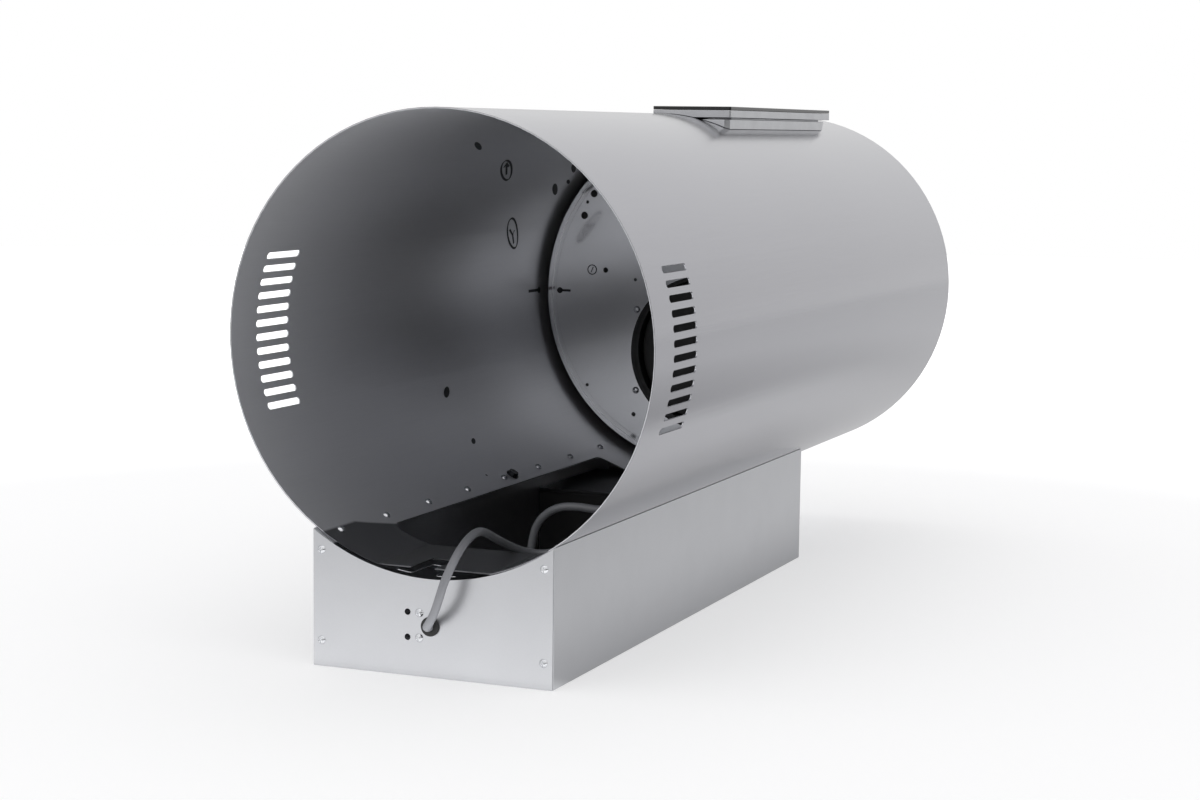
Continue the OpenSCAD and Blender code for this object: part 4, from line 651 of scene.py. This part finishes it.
# Each level is a direction's share, where the level starts and ends to change, and its two values:
# the room at eye level from left to right, the sweep from its foot up, and what lies behind the hood.
eye_level, sweep, behind = [add_node(tree, "ShaderNodeMapRange", level).outputs[0] for level in (
    (x, -0.05, 0.25, 0.75, 0.04), (z, 0.05, 0.35, 0.81, 0.93), (y, -0.3, 0.3, 0, 1))]
room = add_node(tree, "ShaderNodeMapRange", [z, 0.17, 0.32, eye_level, white]).outputs[0]
mirrored = add_node(tree, "ShaderNodeMix", {0: behind, 2: room, 3: sweep}).outputs[0]
sky = add_node(tree, "ShaderNodeBackground", {"Color": (1, 1, 1, 1),
                                              "Strength": level_for(tree, plain_light, mirrored, white)})
add_node(tree, "ShaderNodeOutputWorld", {"Surface": sky.outputs[0]})

floor_r, floor_drop, floor_corners = 6, 0.2, 96
floor_mesh = bmesh.new()
bmesh.ops.create_circle(floor_mesh, cap_ends=True, segments=floor_corners, radius=floor_r)
floor = made_of(floor_mesh, "floor")
floor.location.z = -floor_drop * mm
bpy.context.scene.collection.objects.link(floor)
# Uncoated paper is a matt off-white, with fibres that hardly show. They are drawn coarse.
fibre_size = 3
material, tree, place = start_material("white_paper")
away = add_node(tree, "ShaderNodeVectorMath", [place], operation="LENGTH").outputs["Value"]
x, y = add_node(tree, "ShaderNodeSeparateXYZ", [place]).outputs[:2]
# Each level is a place in metres, where the level starts and ends to change, and its two values.
# The second level is a glow painted on the paper, strongest before the box, that lights the hood: painted
# light. The last darkens the paper far out before the hood: painted shade.
seen, lit, past_front, far_painted_shade = [add_node(tree, "ShaderNodeMapRange", level).outputs[0] for level in (
    (away, 0.9, 2.2, 0.4, 1), (y, -1.3, -0.4, 0.4, 2.6), (y, -0.32, -0.26, 0, 1), (y, -3, -1.7, 1, 0))]
# Painted light that only metal mirrors: a near and a far band of glow on the paper before the box,
# and a strip of it along the box's right side.
near_painted_glow, far_painted_glow, beside_painted_glow, strip_edge, strip_end, all_round = [
    add_node(tree, "ShaderNodeMapRange", level).outputs[0] for level in (
        (y, -0.85, -0.33, 0, 0.6), (y, -2.6, -1.4, 0, 0.25), (x, 0.08, 0.2, 0.1, 0.32),
        (x, 0.28, 0.34, 1, 0), (y, 0.4, 1.1, 1, 0), (away, 0.6, 1.6, 0, 0.17))]
before = add_node(tree, "ShaderNodeMath", [near_painted_glow, far_painted_glow], operation="ADD").outputs[0]
for work, level in (("MULTIPLY", strip_edge), ("MULTIPLY", strip_end), ("ADD", all_round)):
    beside_painted_glow = add_node(tree, "ShaderNodeMath", [beside_painted_glow, level], operation=work).outputs[0]
mirrored = add_node(tree, "ShaderNodeMix", {0: past_front, 2: before, 3: beside_painted_glow}).outputs[0]
fibre = specks(tree, place, fibre_size)
shade = add_node(tree, "ShaderNodeMapRange", [fibre, *one_noise, 0, 1]).outputs[0]
pale = add_node(tree, "ShaderNodeMix", {0: shade, 6: linear("#CBCBCC"), 7: linear("#CFCFD0")},
                data_type="RGBA")
# Painted shade: far out before the hood the paper turns dark grey, #5C5C5E.
paper = add_node(tree, "ShaderNodeMix", {0: far_painted_shade, 6: pale.outputs[2], 7: linear("#5C5C5E")},
                 data_type="RGBA")
finish_material(tree, {"Base Color": paper.outputs[2], "Roughness": 0.9, "Emission Color": (1, 1, 1, 1),
                       "Emission Strength": level_for(tree, lit, mirrored, seen)})
floor.data.materials.append(material)

# Lamps: place and aim in metres, width in metres, and watts.
for name, place, aim, width, watts in (
        ("overhead_lamp", (0.2, 0.1, 2.6), (0, 0.1, 0.2), 3, 8),
        ("left_lamp", (-1.2, -2.4, 1.6), (0, 0, 0.2), 1.6, 4)):
    lamp = bpy.data.objects.new(name, bpy.data.lights.new(name, "AREA"))
    lamp.data.size = width
    lamp.data.energy = watts
    lamp.location = place
    lamp.rotation_euler = (Vector(aim) - Vector(place)).to_track_quat("-Z", "Y").to_euler()
    bpy.context.scene.collection.objects.link(lamp)
